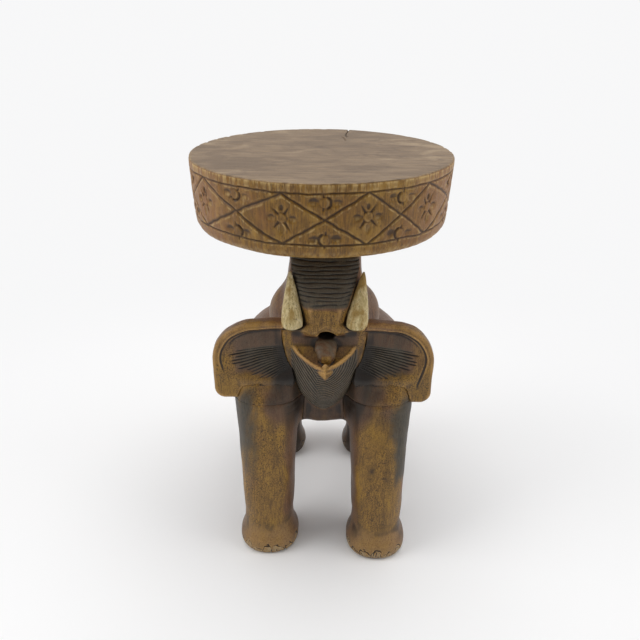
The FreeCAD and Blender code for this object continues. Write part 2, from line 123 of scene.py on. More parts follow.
def egg(x, y, z, middle, radii, power=2.0):
    """An ellipsoid, boxier for a higher power and more like a cut gem for a lower one."""
    scaled = [np.abs((p - m) / r) ** power for p, m, r in zip((x, y, z), middle, radii)]
    return ((scaled[0] + scaled[1] + scaled[2]) ** (1 / power) - 1) * min(radii)


def waves(x, y, z, length, seed):
    """Gentle unevenness between about -1 and 1, the same each time."""
    draw = np.random.default_rng(seed)
    total = 0
    for _ in range(5):
        way = draw.normal(size=3)
        way *= 2 * math.pi / (length * np.linalg.norm(way)) * draw.uniform(0.7, 1.4)
        total = total + np.sin(way[0] * x + way[1] * y + way[2] * z + draw.uniform(0, 6.28))
    return total / 3


def fade(value, start, end):
    """0 before start, 1 after end, smooth between. Start may be the larger."""
    s = np.clip((value - start) / (end - start), 0, 1)
    return s * s * (3 - 2 * s)


AXES = np.eye(3, dtype=int)
CORNERS = np.array([(i, j, k) for i in (0, 1) for j in (0, 1) for k in (0, 1)])
CELL_EDGES = [(a, b) for a in range(8) for b in range(a + 1, 8)
              if np.abs(CORNERS[a] - CORNERS[b]).sum() == 1]


def surface(field, first, step):
    """Points and quads of the surface where a field is zero: one point in each cell it crosses."""
    inside = field < 0
    size = np.array(field.shape) - 1
    count = np.zeros(size, np.int8)
    for i, j, k in CORNERS:
        count += inside[i:i + size[0], j:j + size[1], k:k + size[2]]
    crossed = (count > 0) & (count < 8)
    number = np.full(size, -1, np.int32)
    number[crossed] = np.arange(crossed.sum())
    cells = np.argwhere(crossed)
    values = np.stack([field[tuple((cells + corner).T)] for corner in CORNERS], axis=1)
    total = np.zeros((len(cells), 3))
    hits = np.zeros(len(cells))
    for a, b in CELL_EDGES:
        start, end = values[:, a], values[:, b]
        cut = (start < 0) != (end < 0)
        share = np.where(cut, start / np.where(cut, start - end, 1), 0)
        total += np.where(cut[:, None], CORNERS[a] + share[:, None] * (CORNERS[b] - CORNERS[a]), 0)
        hits += cut
    points = (cells + total / hits[:, None] + first) * step

    quads = []
    for axis in range(3):
        a, b = (axis + 1) % 3, (axis + 2) % 3
        spots = np.argwhere(np.diff(inside, axis=axis))
        spots = spots[((spots > 0) & (spots < size))[:, [a, b]].all(axis=1)]
        ring = [number[tuple((spots - back_a * AXES[a] - back_b * AXES[b]).T)]
                for back_a, back_b in ((1, 1), (0, 1), (0, 0), (1, 0))]
        quad = np.stack(ring, axis=1)
        backward = ~inside[tuple(spots.T)]
        quad[backward] = quad[backward][:, ::-1]
        quads.append(quad)
    return points, np.concatenate(quads).tolist()


ROOM = 5


def sculpt(node, field, step):
    """A mesh object round a CAD node's place from a field, read a step apart on one grid for all pieces."""
    low, high = cad_size(node)
    first = np.floor((low - FROM_MIDDLE - ROOM) / step).astype(int) - 2
    last = np.ceil((high - FROM_MIDDLE + ROOM) / step).astype(int) + 2
    rows = [np.arange(a, b + 1, dtype=np.float32) * np.float32(step) for a, b in zip(first, last)]
    grid = np.meshgrid(*rows, indexing="ij", sparse=True)
    points, quads = surface(field(*grid), first, step)
    return mesh_object(f"{node}_carved", points + FROM_MIDDLE, quads)


def new_object(name, data):
    thing = bpy.data.objects.new(name, data)
    bpy.context.scene.collection.objects.link(thing)
    return thing


def mesh_object(name, points, faces):
    """A smooth-shaded mesh object from points in millimetres."""
    mesh = bpy.data.meshes.new(name)
    mesh.from_pydata((np.asarray(points) * MM).tolist(), [], faces)
    mesh.validate()
    mesh.update()
    mesh.shade_smooth()
    return new_object(name, mesh)


def read(layer, name, size=1, kind=np.float32):
    """The values that a mesh keeps in a layer, a row for each element."""
    flat = np.empty(len(layer) * size, kind)
    layer.foreach_get(name, flat)
    return flat.reshape(-1, size)


def read_points(thing):
    return read(thing.data.vertices, "co", 3).astype(float) / MM - FROM_MIDDLE


def read_normals(thing):
    return read(thing.data.vertex_normals, "vector", 3).astype(float)


def write_points(thing, points):
    thing.data.vertices.foreach_set("co", ((points + FROM_MIDDLE) * MM).astype(np.float32).ravel())
    thing.data.update()


def refine(thing, chosen):
    """Halves the faces whose centres the test picks, so that fine carving has points to move."""
    grid = bmesh.new()
    grid.from_mesh(thing.data)
    centres = np.array([face.calc_center_median() for face in grid.faces]) / MM - FROM_MIDDLE
    picks = chosen(*centres.T)
    edges = {edge for face, pick in zip(grid.faces, picks) if pick for edge in face.edges}
    bmesh.ops.subdivide_edges(grid, edges=list(edges), cuts=1, use_grid_fill=True)
    grid.to_mesh(thing.data)
    grid.free()
    thing.data.shade_smooth()


def engrave(thing, depth_of):
    """Moves points in by a depth in millimetres."""
    points = read_points(thing)
    write_points(thing, points - read_normals(thing) * depth_of(*points.T)[:, None])


NUDGE = 0.1
SETTLE_MOST = 0.6


def slopes(field, points, axes):
    """A field's values at points, and how steeply it rises there along each of some axes."""
    here = field(*points.T)
    return here, np.stack([(field(*(points + NUDGE * axis).T) - here) / NUDGE for axis in axes], axis=1)


def settle(thing, field):
    """Moves a mesh's points onto the true surface of its field, by no more than a limit."""
    points = read_points(thing)
    here, slope = slopes(field, points, AXES)
    steep = np.maximum((slope ** 2).sum(axis=1), 0.05)
    move = -slope * (here / steep)[:, None]
    size = np.linalg.norm(move, axis=1)
    move *= (np.minimum(size, SETTLE_MOST) / np.maximum(size, 1e-6))[:, None]
    write_points(thing, points + move)


def square_up(thing, field, level, reach):
    """Brings the points of a rounded end back to its sharp edge, so that the joint there stays fine."""
    points = read_points(thing)
    near = (np.abs(points[:, 2] - level) < reach) & (np.abs(field(*points.T)) < reach)
    edge = points[near]
    edge[:, 2] = level
    for _ in range(2):
        here, slope = slopes(field, edge, AXES[:2])
        steep = np.maximum((slope ** 2).sum(axis=1), 0.2)
        edge[:, :2] -= slope * here[:, None] / steep[:, None]
    moved = np.linalg.norm(edge - points[near], axis=1) < 2.5 * reach
    points[np.flatnonzero(near)[moved]] = edge[moved]
    write_points(thing, points)


def convexity(thing):
    """How far each point stands out from its neighbours, in millimetres, softened over them."""
    points = read_points(thing)
    start, end = read(thing.data.edges, "vertices", 2, np.int32).T
    total = len(points)
    links = np.maximum(np.bincount(start, minlength=total) + np.bincount(end, minlength=total), 1)

    def mean_of(values):
        return (np.bincount(start, values[end], total) + np.bincount(end, values[start], total)) / links
    mean = points
    for _ in range(3):
        mean = np.stack([mean_of(column) for column in mean.T], axis=1)
    out = ((points - mean) * read_normals(thing)).sum(axis=1)
    for _ in range(2):
        out = (out + mean_of(out)) / 2
    return out


def paint(thing, name, values):
    """Stores one number for each point, from 0 to 1, for the material to read."""
    layer = thing.data.attributes.new(name, "FLOAT", "POINT")
    layer.data.foreach_set("value", np.clip(values, 0, 1).astype(np.float32))


# The body: a barrel on four columns

LEG_TOP = {"front": cad_size("front_left_leg")[1][2], "rear": cad_size("rear_left_leg")[1][2]}
LEG_X = cad_size("rear_left_leg")[0][0] / 2 + cad_size("rear_left_leg")[1][0] / 2 - MIDDLE
CHEST_Y = -80
RUMP_Y = 138
BARREL = np.array([
    # Place along Y, half width, half height, height of the middle
    (-80, 66.3, 55.6, 213),
    (-55, 87.4, 65.3, 213),
    (-12, 100.5, 69.5, 211),
    (25, 99.5, 67.4, 210),
    (58, 94.5, 56.3, 206),
    (102, 82.4, 47.3, 200),
    (127, 58.3, 36.1, 196),
    (138, 26.1, 17.4, 194),
])
LEGS = {
    # Side, row, place of the foot and of the hip along Y, how far the foot turns in
    "front_left_leg": (1, "front", -106, -70, 0),
    "front_right_leg": (-1, "front", -98, -70, 0),
    "rear_left_leg": (1, "rear", 88, 82, 0),
    "rear_right_leg": (-1, "rear", 88, 82, 4.5),
}
COLUMNS = {
    # Heights, and the half width at each
    "front": ((0, 6, 11, 18, 26, 34, 42, 60, 95, 143, 175, 200, 215, 228, 238, 246),
              (33, 35.3, 35.8, 34.8, 31.8, 29.8, 29.3, 30.2, 31.5, 34, 36.5, 38.5, 37.2, 34, 27, 15)),
    "rear": ((0, 6, 11, 18, 26, 34, 42, 60, 95, 143, 175, 195, 208, 219, 228, 234),
             (31, 34, 35.4, 34.8, 32, 30, 29.5, 30.2, 32, 36, 39, 39, 36, 29.5, 21, 13)),
}
HUMP_TOP = {"front": 246, "rear": 236}
SEAM = 0.1
LEG_SKIN = 5


def barrel(x, y, z):
    """The trunk of the body: upright ovals from the chest to the rump."""
    half_width, half_height, middle = curves(y, *BARREL.T)
    tube = oval(x, z - middle, half_width, half_height)
    return trim(tube, (y - RUMP_Y, 12), (CHEST_Y - y, 12))


def column(x, y, z, leg):
    """One leg, from the floor up to where its hump fades into the barrel."""
    side, row, foot_y, hip_y, turned_in = LEGS[leg]
    lean = through(z, (0, 25, 40, 96, 152, 200), (0, 0, 0.03, 0.22, 0.6, 1))
    half = through(z, *COLUMNS[row])
    inward = (4 if row == "front" else 16) * fade(z, 195, 240) + turned_in * fade(z, 150, 40)
    back = through(z, (198, 215, 228, 246), (0, 4, 5.5, 6)) if row == "front" else 0
    square = 2.25 + (0.8 * fade(z, 185, 225) if row == "front" else 0)
    middle_y = foot_y + (hip_y - foot_y) * lean + back
    tube = oval(x - side * (LEG_X - inward), y - middle_y, half, half * 1.02, square)
    return trim(tube, (z - HUMP_TOP[row], 12), (-z, 2.5))


def tail(x, y, z):
    centre_x = through(z, (158, 180, 205, 226), (7, 5, 2, 0))
    centre_y = through(z, (158, 164, 176, 195, 211, 226), (127, 131, 135, 137, 134, 125))
    radius = through(z, (156, 160, 166, 176, 195, 226), (2.5, 5.5, 6.8, 5.6, 5.6, 7))
    tube = oval(x - centre_x, y - centre_y, radius, radius)
    return trim(tube, (z - 230, 6), (156 - z, 4))


def body(x, y, z, legs=LEGS):
    """The whole body with some of its legs."""
    shape = join(barrel(x, y, z), tail(x, y, z), 4)
    for leg in legs:
        shape = join(shape, column(x, y, z, leg), 15)
    return shape


def leg_skin(leg, legs, gap=0):
    """The outside that a leg shows, together with some of the others."""
    def field(x, y, z):
        return np.maximum(body(x, y, z, legs), column(x, y, z, leg) - LEG_SKIN - gap)
    return field


def leg_piece(leg):
    skin, top = leg_skin(leg, [leg]), LEG_TOP[LEGS[leg][1]]

    def field(x, y, z):
        return np.maximum(skin(x, y, z), z - top + SEAM)
    return field


def from_seam(z):
    """How far a height is from the nearest joint between a leg and the torso."""
    return np.minimum(np.abs(z - LEG_TOP["front"]), np.abs(z - LEG_TOP["rear"]))


def torso_field(x, y, z):
    shape = body(x, y, z)
    for leg, (_, row, *_) in LEGS.items():
        notch = np.maximum(column(x, y, z, leg) - LEG_SKIN - SEAM, z - LEG_TOP[row])
        shape = np.maximum(shape, -notch)
    return np.maximum(shape, SEAM - head_field(x, y, z))


# The head: skull, muzzle, lip, jaw, tongue and the raised trunk

TRUNK_TOP = SEAT_FOOT
TRUNK_LEVELS = (262, 291, 322, 352, 385)
LIP_Z = 291
LIP_WIDTH = 88
MOUTH_X = 2
JAW_TIP = -127
KNOB = ((1, -122.5, 253), (7.5, 7, 9.5), 1.25)
TONGUE_TIP = -116
NAPE_Y, NAPE_Z = -42, 278


def trunk_front(z):
    """The place along Y of the trunk's front, and the half width of its flat face."""
    front = through(z, TRUNK_LEVELS, (-104, -108, -106, -91, -66))
    return front, through(z, (288, 300, 322, 343, 352, 365, 385), (19, 19, 24, 31.5, 34, 37, 38.7))


def trunk(x, y, z):
    front, face = trunk_front(z)
    back = through(z, TRUNK_LEVELS, (-30, -25, -10, 4, 25))
    widest = through(z, (300, 330, 352, 385), (46, 42, 38.8, 38.8))
    half = np.minimum(widest, face + 0.8 * np.maximum(y - front - 2, 0))
    tube = oval(x, y - (front + back) / 2, half, (back - front) / 2, 7)
    return common(tube, 284 - z, 6)


def skull(x, y, z):
    return egg(x, y, z, (0, -48, 288), (63, 45, 49))


def cheek(z):
    """The half width of the muzzle."""
    return through(z, (208, 222, 250, 291, 300), (28, 33.5, 42, 46.5, 45))


def muzzle(x, y, z):
    """The column behind the lip and the jaw, whose edges show beside the chin."""
    half = cheek(z)
    front = through(z, (208, 222, 250, 268, 291), (-82, -91, -98, -98.5, -97))
    tube = oval(x, y - (front + NAPE_Y) / 2, half, (NAPE_Y - front) / 2, 8)
    return trim(tube, (z - 299, 6), (206 - z, 8))


def lip_low(x):
    """The height of the lip's lower edge, which arches over the throat."""
    low = LIP_Z - 1.5 + 1.5 * np.abs(x / 43) ** 2 + 8.5 * np.exp(-((x - MOUTH_X) / 8.5) ** 2)
    return low + 1.2 * np.exp(-((np.abs(x) - 30) / 8) ** 2) + 0.6 * waves(x, 0, 0, 20, 52)


def lip(x, y, z):
    low = lip_low(x)
    high = 299 + 2 * np.exp(-((x - MOUTH_X) / 14) ** 2)
    front = -107.5 + 4 * np.abs(x / 44) ** 3
    return trim(low - z, (z - high, 4), (front - y, 4), (np.abs(x) - LIP_WIDTH / 2, 4), (y + 60, 2))


def prow(x, y, z, grow):
    """The jaw and chin in plan: sides that run to a point in front, blunt low down."""
    half, corner, tip, power = curves(z, (177, 184, 192, 202, 216, 235, 257),
                                      (5, 12.5, 19.5, 25.5, 30, 33, 34.5),
                                      (-70, -73, -77, -82, -88, -94, -98),
                                      (-84, -90, -97, -104, -113, -121, JAW_TIP - 1),
                                      (2, 2, 2, 1.9, 1.7, 1.5, 1.3))
    return oval(x, np.minimum(y - corner, 0), half + grow, corner - (tip - grow), power)


def jaw_rim(y):
    """The height of the lower jaw's rim, which falls towards its tip."""
    return 270 + (y + 100) * 0.45


def jaw(x, y, z):
    """The lower jaw: a shallow dish that rises to its level back edge, with a knob at its tip."""
    rim = jaw_rim(y)
    block = trim(prow(x, y, z, 0), (z - rim, 1.5), (177 - z, 6), (y + 50, 2))
    depth = 6.5 * fade(y, -98, -107)
    basin = common(prow(x, y, z, -3.5), rim - depth - z, 3)
    return join(carve(block, basin, 1.5), egg(x, y, z, *KNOB), 0.8)


def tongue(x, y, z):
    """The tongue: broad and uneven behind, narrower towards its blunt tip on the jaw's floor."""
    middle_z, half = curves(y, (-118, -111, -98, -84), (260, 265.5, 274, 277), (5.5, 9.5, 12.3, 12.3))
    tube = oval(x - MOUTH_X, z - middle_z, half, 6.8, 2.4) + 0.6 * waves(x, y, z, 14, 51)
    return trim(tube, (TONGUE_TIP - y, 5), (y + 84, 2))


def head_field(x, y, z):
    shape = skull(x, y, z)
    for part, soft in ((trunk, 7), (muzzle, 5), (lip, 2.5), (jaw, 2)):
        shape = join(shape, part(x, y, z), soft)
    throat = egg(x - MOUTH_X, y, z, (0, -96, 285.5), (10.2, 24, 7.6)) + 0.7 * waves(x, y, z, 11, 87)
    shape = carve(shape, throat, 2)
    shape = join(shape, tongue(x, y, z), 1.5)
    for side in SIDES.values():
        shape = carve(shape, tusk_field(x, y, z, side) - 0.7, 1)
    shape = np.maximum(shape, z - TRUNK_TOP)
    return np.maximum(shape, np.minimum(y - NAPE_Y, NAPE_Z - z))


# The tusks

TUSK_SHARES = (0, 0.05, 0.12, 0.25, 0.5, 0.75, 0.92, 1)
TUSK_RADII = (7.8, 10.8, 11.5, 10.8, 8, 5, 2.7, 1.3)
TUSK_BASE = (33.8, -103, 294.5)
TUSK_TIP = (-89, 354)
TUSK_TIP_X = {1: 40.3, -1: 36.8}


def tusk_field(x, y, z, side):
    share = np.clip((z - TUSK_BASE[2]) / (TUSK_TIP[1] - TUSK_BASE[2]), 0, 1)
    radius = through(share, TUSK_SHARES, TUSK_RADII)
    centre_x = side * (TUSK_BASE[0] + (TUSK_TIP_X[side] - TUSK_BASE[0]) * share)
    centre_y = TUSK_BASE[1] + (TUSK_TIP[0] - TUSK_BASE[1]) * share ** 1.3
    tube = oval(x - centre_x, y - centre_y, radius, radius)
    return trim(tube, (TUSK_BASE[2] - z, 4), (z - TUSK_TIP[1], 1))


# The ears

EAR_ROOT = 36
EAR_BACK = -80
EARS = {
    # Side, reach, top, bottom
    "left_ear": (1, 121.7, 296.5, 196.5),
    "right_ear": (-1, 123.6, 297.8, 201.5),
}
EAR_RIM = 9
COMB_ROOT = (-16, 272)


def ear_outline(u, z, ear):
    """The ear from the front: a large round crown, a small round lobe, straight between."""
    _, reach, top, bottom = EARS[ear]
    crown, lobe = 44, 13
    across = u - (reach - crown)
    upward = z - (top - crown) + 3.5 * fade(u, 50, 105)
    outer = np.where((across > 0) & (upward > 0), np.hypot(across, upward), np.maximum(across, upward))
    low_across = u - (reach - lobe)
    downward = (bottom + lobe) - z
    corner = np.where((low_across > 0) & (downward > 0), np.hypot(low_across, downward), downward)
    return np.maximum(outer - crown, corner - lobe)


def rim_width(z):
    """The width of an ear's rim, which broadens towards the lobe."""
    return EAR_RIM + 8 * fade(z, 252, 216)


def ear_front(u, z, ear):
    """The carved front face, as a place along Y: a rim, a dished field and a ramp for the comb."""
    inside = -ear_outline(u, z, ear) - rim_width(z)
    toward_head = fade(u, 112, 60)
    dish = (2 + 5.5 * toward_head) * fade(z, 226, 262) * (0.4 + 0.6 * fade(u, 38, 54))
    return -97 + dish * fade(inside, -1, 3.5)


def ear_field(ear):
    side = EARS[ear][0]

    def field(x, y, z):
        u = side * x
        slab = common(ear_front(u, z, ear) - y, y - EAR_BACK, 3)
        shape = common(ear_outline(u, z, ear), slab, 5)
        shape = np.maximum(shape, EAR_ROOT - u)
        shoulder = body(x, y, z, [f"front_{ear[:-4]}_leg"])
        shape = np.maximum(join(shape, shoulder, 0.5 + 15 * fade(z, 214, 230)), z - EARS[ear][2])
        return greatest(shape, SEAM - head_field(x, y, z), SEAM - shoulder)
    return field


# Carving: how deep the tools cut, in millimetres, at points of the surface

RIM_GROOVE_ENDS = {"left_ear": 211, "right_ear": 230}
CHIN_PITCH, CHIN_DEPTH = 3.2, 1.25
TRUNK_PITCH, TRUNK_DEPTH = 4.1, 1.1
COMB_PITCH, COMB_DEPTH = 1.8, 1.1
RIM_WIDTH, RIM_DEPTH = 3.2, 1.6
NAIL_DEPTH = 1.2


def furrow(place, pitch, sharp=3):
    """Parallel cuts a pitch apart: 1 at a cut's middle, 0 between cuts."""
    return (0.5 + 0.5 * np.cos(2 * math.pi * place / pitch)) ** sharp


def cut_line(distance, width):
    """One V cut: 1 at its middle, 0 beyond half its width."""
    return np.clip(1 - np.abs(distance) / (width / 2), 0, 1)


def chin_cuts(x, y, z):
    """Combed chin: slanting lines on one side, curved ones round the jaw's tip on the rest."""
    drift = 0.5 * waves(x, y, z, 22, 11)
    slanting, curved = 0.83 * x + 0.55 * z, np.hypot(x + 4, 1.05 * (z - 262))
    slanting, curved = (furrow(way + drift, CHIN_PITCH, 2) for way in (slanting, curved))
    share = fade(x + 2 * waves(x, y, z, 15, 12), -11, -5)
    cuts = slanting * (1 - share) + curved * share
    outside = prow(x, y, z, 0)
    area = fade(outside, -2.5, -0.5) * fade(outside, 2.2, 1) * fade(y, -82, -87) * fade(z, 178, 181)
    area *= fade(jaw_rim(y) - z, 2.5, 5) * fade(egg(x, y, z, *KNOB), 0.5, 2)
    return cuts * area * (0.75 + 0.25 * waves(x, y, z, 12, 13)), area


def trunk_cuts(x, y, z):
    """Ridges across the trunk's front."""
    front, face = trunk_front(z)
    drift = 0.9 * waves(x, y, z * 2, 34, 21) + 0.3 * waves(x, y, z * 2, 12, 22)
    cuts = furrow(z + drift - 322.5, TRUNK_PITCH, 4)
    area = fade(z, 317, 321) * fade(TRUNK_TOP - z, 0, 1.5)
    area *= fade(np.abs(x) - face, 1.5, 0) * fade(y - front, 9, 5)
    return cuts * area * np.clip(0.62 + 0.4 * waves(x, y, z * 4, 20, 23), 0.15, 1), area


def ear_cuts(u, y, z, ear):
    """The rim's groove and the comb that fans out from the head."""
    inside = -ear_outline(u, z, ear)
    wander = 0.5 * waves(u, y, z, 25, 31)
    end = RIM_GROOVE_ENDS[ear]
    in_front = fade(y, -84, -88)
    rim = cut_line(inside - rim_width(z) + wander, RIM_WIDTH) * fade(z, end, end + 20) * fade(u, 38, 44)
    rim *= in_front
    reach, turn, longest = comb_reach(u, z)
    turn = turn + 0.3 * waves(u, y, z, 40, 32)
    longest = longest - 4 * np.cos(np.floor(turn / COMB_PITCH + 0.5) * 2.4)
    comb = furrow(turn, COMB_PITCH, 2.2) * fade(turn, 5, 6.2) * fade(turn, 29.5, 28.5)
    comb *= fade(reach, longest, longest - 7) * fade(reach, 54, 68) * in_front
    comb *= np.clip(0.8 + 0.4 * waves(u, y, z, 20, 88), 0.2, 1)
    return rim, comb


def comb_reach(u, z):
    """Where a point lies in the ear's comb: how far out, how far round, and how far the comb goes there."""
    across, down = u - COMB_ROOT[0], COMB_ROOT[1] - z
    turn = np.degrees(np.arctan2(down, across))
    return np.hypot(across, down), turn, through(turn, (6, 13, 19, 28), (119, 121, 108, 90))


NAIL_PITCH = 21
NAIL_WIDTH = 12.5


def nail_cuts(x, y, z, leg):
    """Toenails: a ragged row of scallops round the foot's front, and how far a point is below them."""
    side, _, foot_y, _, turned_in = LEGS[leg]
    turn = np.degrees(np.arctan2(x - side * (LEG_X - turned_in), foot_y - y)) + 5 * waves(x, y, z, 30, 74)
    nail = np.round(turn / NAIL_PITCH)
    off = turn / NAIL_PITCH - nail
    tall = 10.5 + 3.5 * np.cos(2.4 * nail + side) + 2 * waves(x, y, z, 7, 78)
    top = 2.5 + tall * np.clip(np.cos(math.pi * off), 0, 1) ** 0.35
    arcs = cut_line(z - top, 3.4) * np.clip(0.7 + 0.8 * waves(x, y, z, 9, 75), 0, 1)
    notches = cut_line((0.5 - np.abs(off)) * NAIL_WIDTH, 2.4)
    notches *= np.clip(0.6 + 0.7 * waves(x, y, z, 12, 83), 0, 1)
    nicks = 0.6 * furrow(turn, 5.2, 3) * fade(waves(x, y, z, 8, 84), 0, 0.6)
    below = fade(top - z, -0.5, 1)
    area = fade(np.abs(turn), 85, 66)
    return np.maximum(arcs, np.maximum(notches, nicks) * below) * area, below * area


# The seat drum

SEAT_COLUMNS = 840
WALL_RINGS = 70
FOOT_ROUND = 9
UPPER_LINE, LOWER_LINE = SEAT_TOP - 9.7, SEAT_TOP - 60
LATTICE_MIDDLE = (UPPER_LINE + LOWER_LINE) / 2
FRONT_APEXES = (-55, -15, 18, 47.5, 88.5)
LOZENGES = 11
RIM_LINE_WIDTH, LATTICE_WIDTH, LINE_DEPTH = 2.4, 2.3, 1.9
FLANK_OFF, FLANK_WIDTH = 1.6, 1.9
FLOWER_REACH = 19
CRACK_DEPTH = 1.8
CRESCENTS = ((-45, 20), (0, 180), (190, 170), (160, 0), (30, 150))


def apexes():
    """Where the lozenges' tips meet the lines, in degrees from the front: the front ones are uneven."""
    evenly = (360 + FRONT_APEXES[0] - FRONT_APEXES[-1]) / (LOZENGES + 1 - len(FRONT_APEXES))
    rest = [FRONT_APEXES[-1] + evenly * count for count in range(1, LOZENGES + 1 - len(FRONT_APEXES))]
    return np.array(FRONT_APEXES + tuple(rest))


def seat_profile():
    """The drum's section, from the middle of the top over the wall to the middle of the underside."""
    top_radii = (14, 38, 62, 84, 102, 115, 124, 130, 134, 137, 139.5, 141.5)
    top = [(radius, SEAT_TOP - 0.1) for radius in top_radii]
    edge = [(142.9, SEAT_TOP - 0.15), (143.9, SEAT_TOP - 0.5), (144.5, SEAT_TOP - 1.2)]
    levels = np.linspace(SEAT_TOP - 2.1, SEAT_FOOT + FOOT_ROUND, WALL_RINGS)
    radii = through(levels, (SEAT_FOOT, 400, 425, 450, SEAT_TOP), (139.6, 141.3, 142.9, 144.1, 144.7))
    wall = list(zip(radii, levels))
    turn = np.radians(np.linspace(12, 90, 8))
    foot = list(zip(radii[-1] - FOOT_ROUND * (1 - np.cos(turn)), SEAT_FOOT + FOOT_ROUND * (1 - np.sin(turn))))
    under = [(radius, SEAT_FOOT + 0.05) for radius in (120, 96, 66, 34, 10)]
    return np.array(top + edge + wall + foot + under), len(top) + len(edge)


def bow(values):
    """Angles in degrees brought between -180 and 180."""
    return (values + 180) % 360 - 180


def lattice_cuts(turn, z, wander):
    """The rim lines and the lozenges' crossing lines, and the light that their lower flanks catch."""
    cuts, flank = np.zeros((2, len(z)))
    for level in (UPPER_LINE, LOWER_LINE):
        cuts = np.maximum(cuts, cut_line(z - level + wander, RIM_LINE_WIDTH))
        flank = np.maximum(flank, cut_line(z - level + wander + FLANK_OFF, FLANK_WIDTH))
    inside = (z < UPPER_LINE + 1) & (z > LOWER_LINE - 1)
    marks = apexes()
    height = UPPER_LINE - LOWER_LINE
    for here, there in zip(marks, np.roll(marks, -1)):
        span = (there - here) % 360
        share = bow(turn - here) / span
        near = inside & (share > -0.03) & (share < 1.03)
        run = math.hypot(1, span * math.radians(1) * SEAT_RADIUS / height)
        for rising in (share, 1 - share):
            offset = (z - (LOWER_LINE + height * rising)) / run + wander
            cuts = np.maximum(cuts, np.where(near, cut_line(offset, LATTICE_WIDTH), 0))
            flank = np.maximum(flank, np.where(near, cut_line(offset + FLANK_OFF, FLANK_WIDTH), 0))
    return np.array([cuts, flank])


def gouge(across, up, way, start, end, width):
    """A cut of a V tool away from a middle: broad and deep at its start, then narrower to a point."""
    angle = math.radians(way)
    along = across * math.cos(angle) + up * math.sin(angle)
    beside = up * math.cos(angle) - across * math.sin(angle)
    taper = fade(along, end, start + 1) * fade(along, start - 1.2, start)
    return cut_line(beside, 0.3 + width * taper) * taper ** 0.5


def scoop(across, up, middle, radii):
    """A soft hollow."""
    return fade(np.hypot((across - middle[0]) / radii[0], (up - middle[1]) / radii[1]), 1.1, 0.2)


BUTTON = 4.7


def mark(across, up, rings, gouges, scoops):
    """A plain button with rings, gouges and scoops round it: the cuts' and the scoops' depths."""
    off_button = np.hypot(across, up) - BUTTON
    rings = [depth * cut_line(off_button - off, width) * part for depth, off, width, part in rings]
    gouges = [depth * gouge(across, up, *where) for depth, *where in gouges]
    scoops = [depth * scoop(across, up, middle, radii) for middle, radii, depth in scoops]
    button = fade(off_button, -0.9, 0.2)
    return greatest(*rings, *gouges) * button, greatest(*scoops) * button


def flower(across, up, draw):
    """A gouged flower round a plain button: four slanting cuts, and soft scoops between them."""
    gouges = [(2.1, way + draw.uniform(-9, 9), BUTTON + 0.3, draw.uniform(15, 18.5), 3.5)
              for way in (52, 128, -52, -128)]
    places = (((-10.5, 0), (6, 5)), ((10.5, 0), (6, 5)), ((0, -11), (4, 7)), ((0, 10), (3.5, 5)))
    scoops = [(middle, radii, draw.uniform(1.5, 2.2)) for middle, radii in places]
    return mark(across, up, [(1.1, 0.6, 2, 1)], gouges, scoops)


def half_flower(across, up, draw, way):
    """The smaller mark above or below a crossing: a button with a deep crescent on one side, and scoops."""
    crescent = fade(np.abs(bow(np.degrees(np.arctan2(up, across)) - way)), 95, 50)
    gouges = [(1.7, way + sign * draw.uniform(80, 105), BUTTON + 0.4, draw.uniform(9.5, 12.5), 2.8)
              for sign in (-1, 1)]
    scoops = [((sign * draw.uniform(10, 12), draw.uniform(-1.5, 2.5)), (7.5, 5.5), draw.uniform(1.4, 2.1))
              for sign in (-1, 1)]
    return mark(across, up, [(2.6, 1, 3.6, crescent), (0.9, 0.6, 1.9, 1)], gouges, scoops)


def flower_cuts(turn, z):
    """The flowers' cuts, the scoops beside them and the light that the scoops' lower halves catch."""
    draw = np.random.default_rng(5)
    cuts, scoops, light = np.zeros((3, len(turn)))
    marks = apexes()
    mm_per_degree = math.radians(1) * (SEAT_RADIUS - 2)
    for number, (here, there) in enumerate(zip(marks, np.roll(marks, -1))):
        middle = here + ((there - here) % 360) / 2
        above, below = CRESCENTS[number % len(CRESCENTS)]
        spots = [(here, LATTICE_MIDDLE + 1, flower),
                 (middle, UPPER_LINE - 8.5, partial(half_flower, way=above)),
                 (middle, LOWER_LINE + 6.5, partial(half_flower, way=below))]
        for centre, level, kind in spots:
            level = level + draw.uniform(-0.8, 0.8)
            across = bow(turn - centre) * mm_per_degree
            near = (np.abs(across) < FLOWER_REACH) & (np.abs(z - level) < FLOWER_REACH)
            made, hollow = kind(across[near], z[near] - level, draw)
            shown = draw.uniform(0.3, 1) * hollow * fade(z[near] - level, 2, -3)
            for values, added in ((cuts, made), (scoops, hollow), (light, shown)):
                values[near] = np.maximum(values[near], added)
    return np.array([cuts, scoops, light])


def crack_cuts(x, y):
    """Two short cracks in from the back of the seat's rim."""
    first = x - through(y, (86, 97, 110, 122, 142), (31.5, 30, 30.5, 32.5, 35))
    second = x - through(y, (64, 76, 90), (28.5, 27.5, 25))
    long = cut_line(first, 2.6) * fade(y, 84, 90)
    return np.maximum(long, 0.8 * cut_line(second, 2.2) * fade(y, 62, 67) * fade(y, 92, 87))


def crack_open(thing):
    """Cuts the cracks into the finished drum, with a finer mesh along them."""
    for reach in (12, 8, 5):
        def near(x, y, z):
            return (np.abs(x + MIDDLE - 30) < reach) & (y > 60) & (z > SEAT_TOP - 5)
        refine(thing, near)
    points = read_points(thing)
    crack = crack_cuts(points[:, 0] + MIDDLE, points[:, 1])
    crack[points[:, 2] < SEAT_TOP - 4] = 0
    points[:, 2] -= CRACK_DEPTH * crack
    write_points(thing, points)
    dirt = thing.data.attributes["dirt_and_shade"].data
    dirt.foreach_set("value", np.maximum(read(dirt, "value")[:, 0], crack).astype(np.float32))


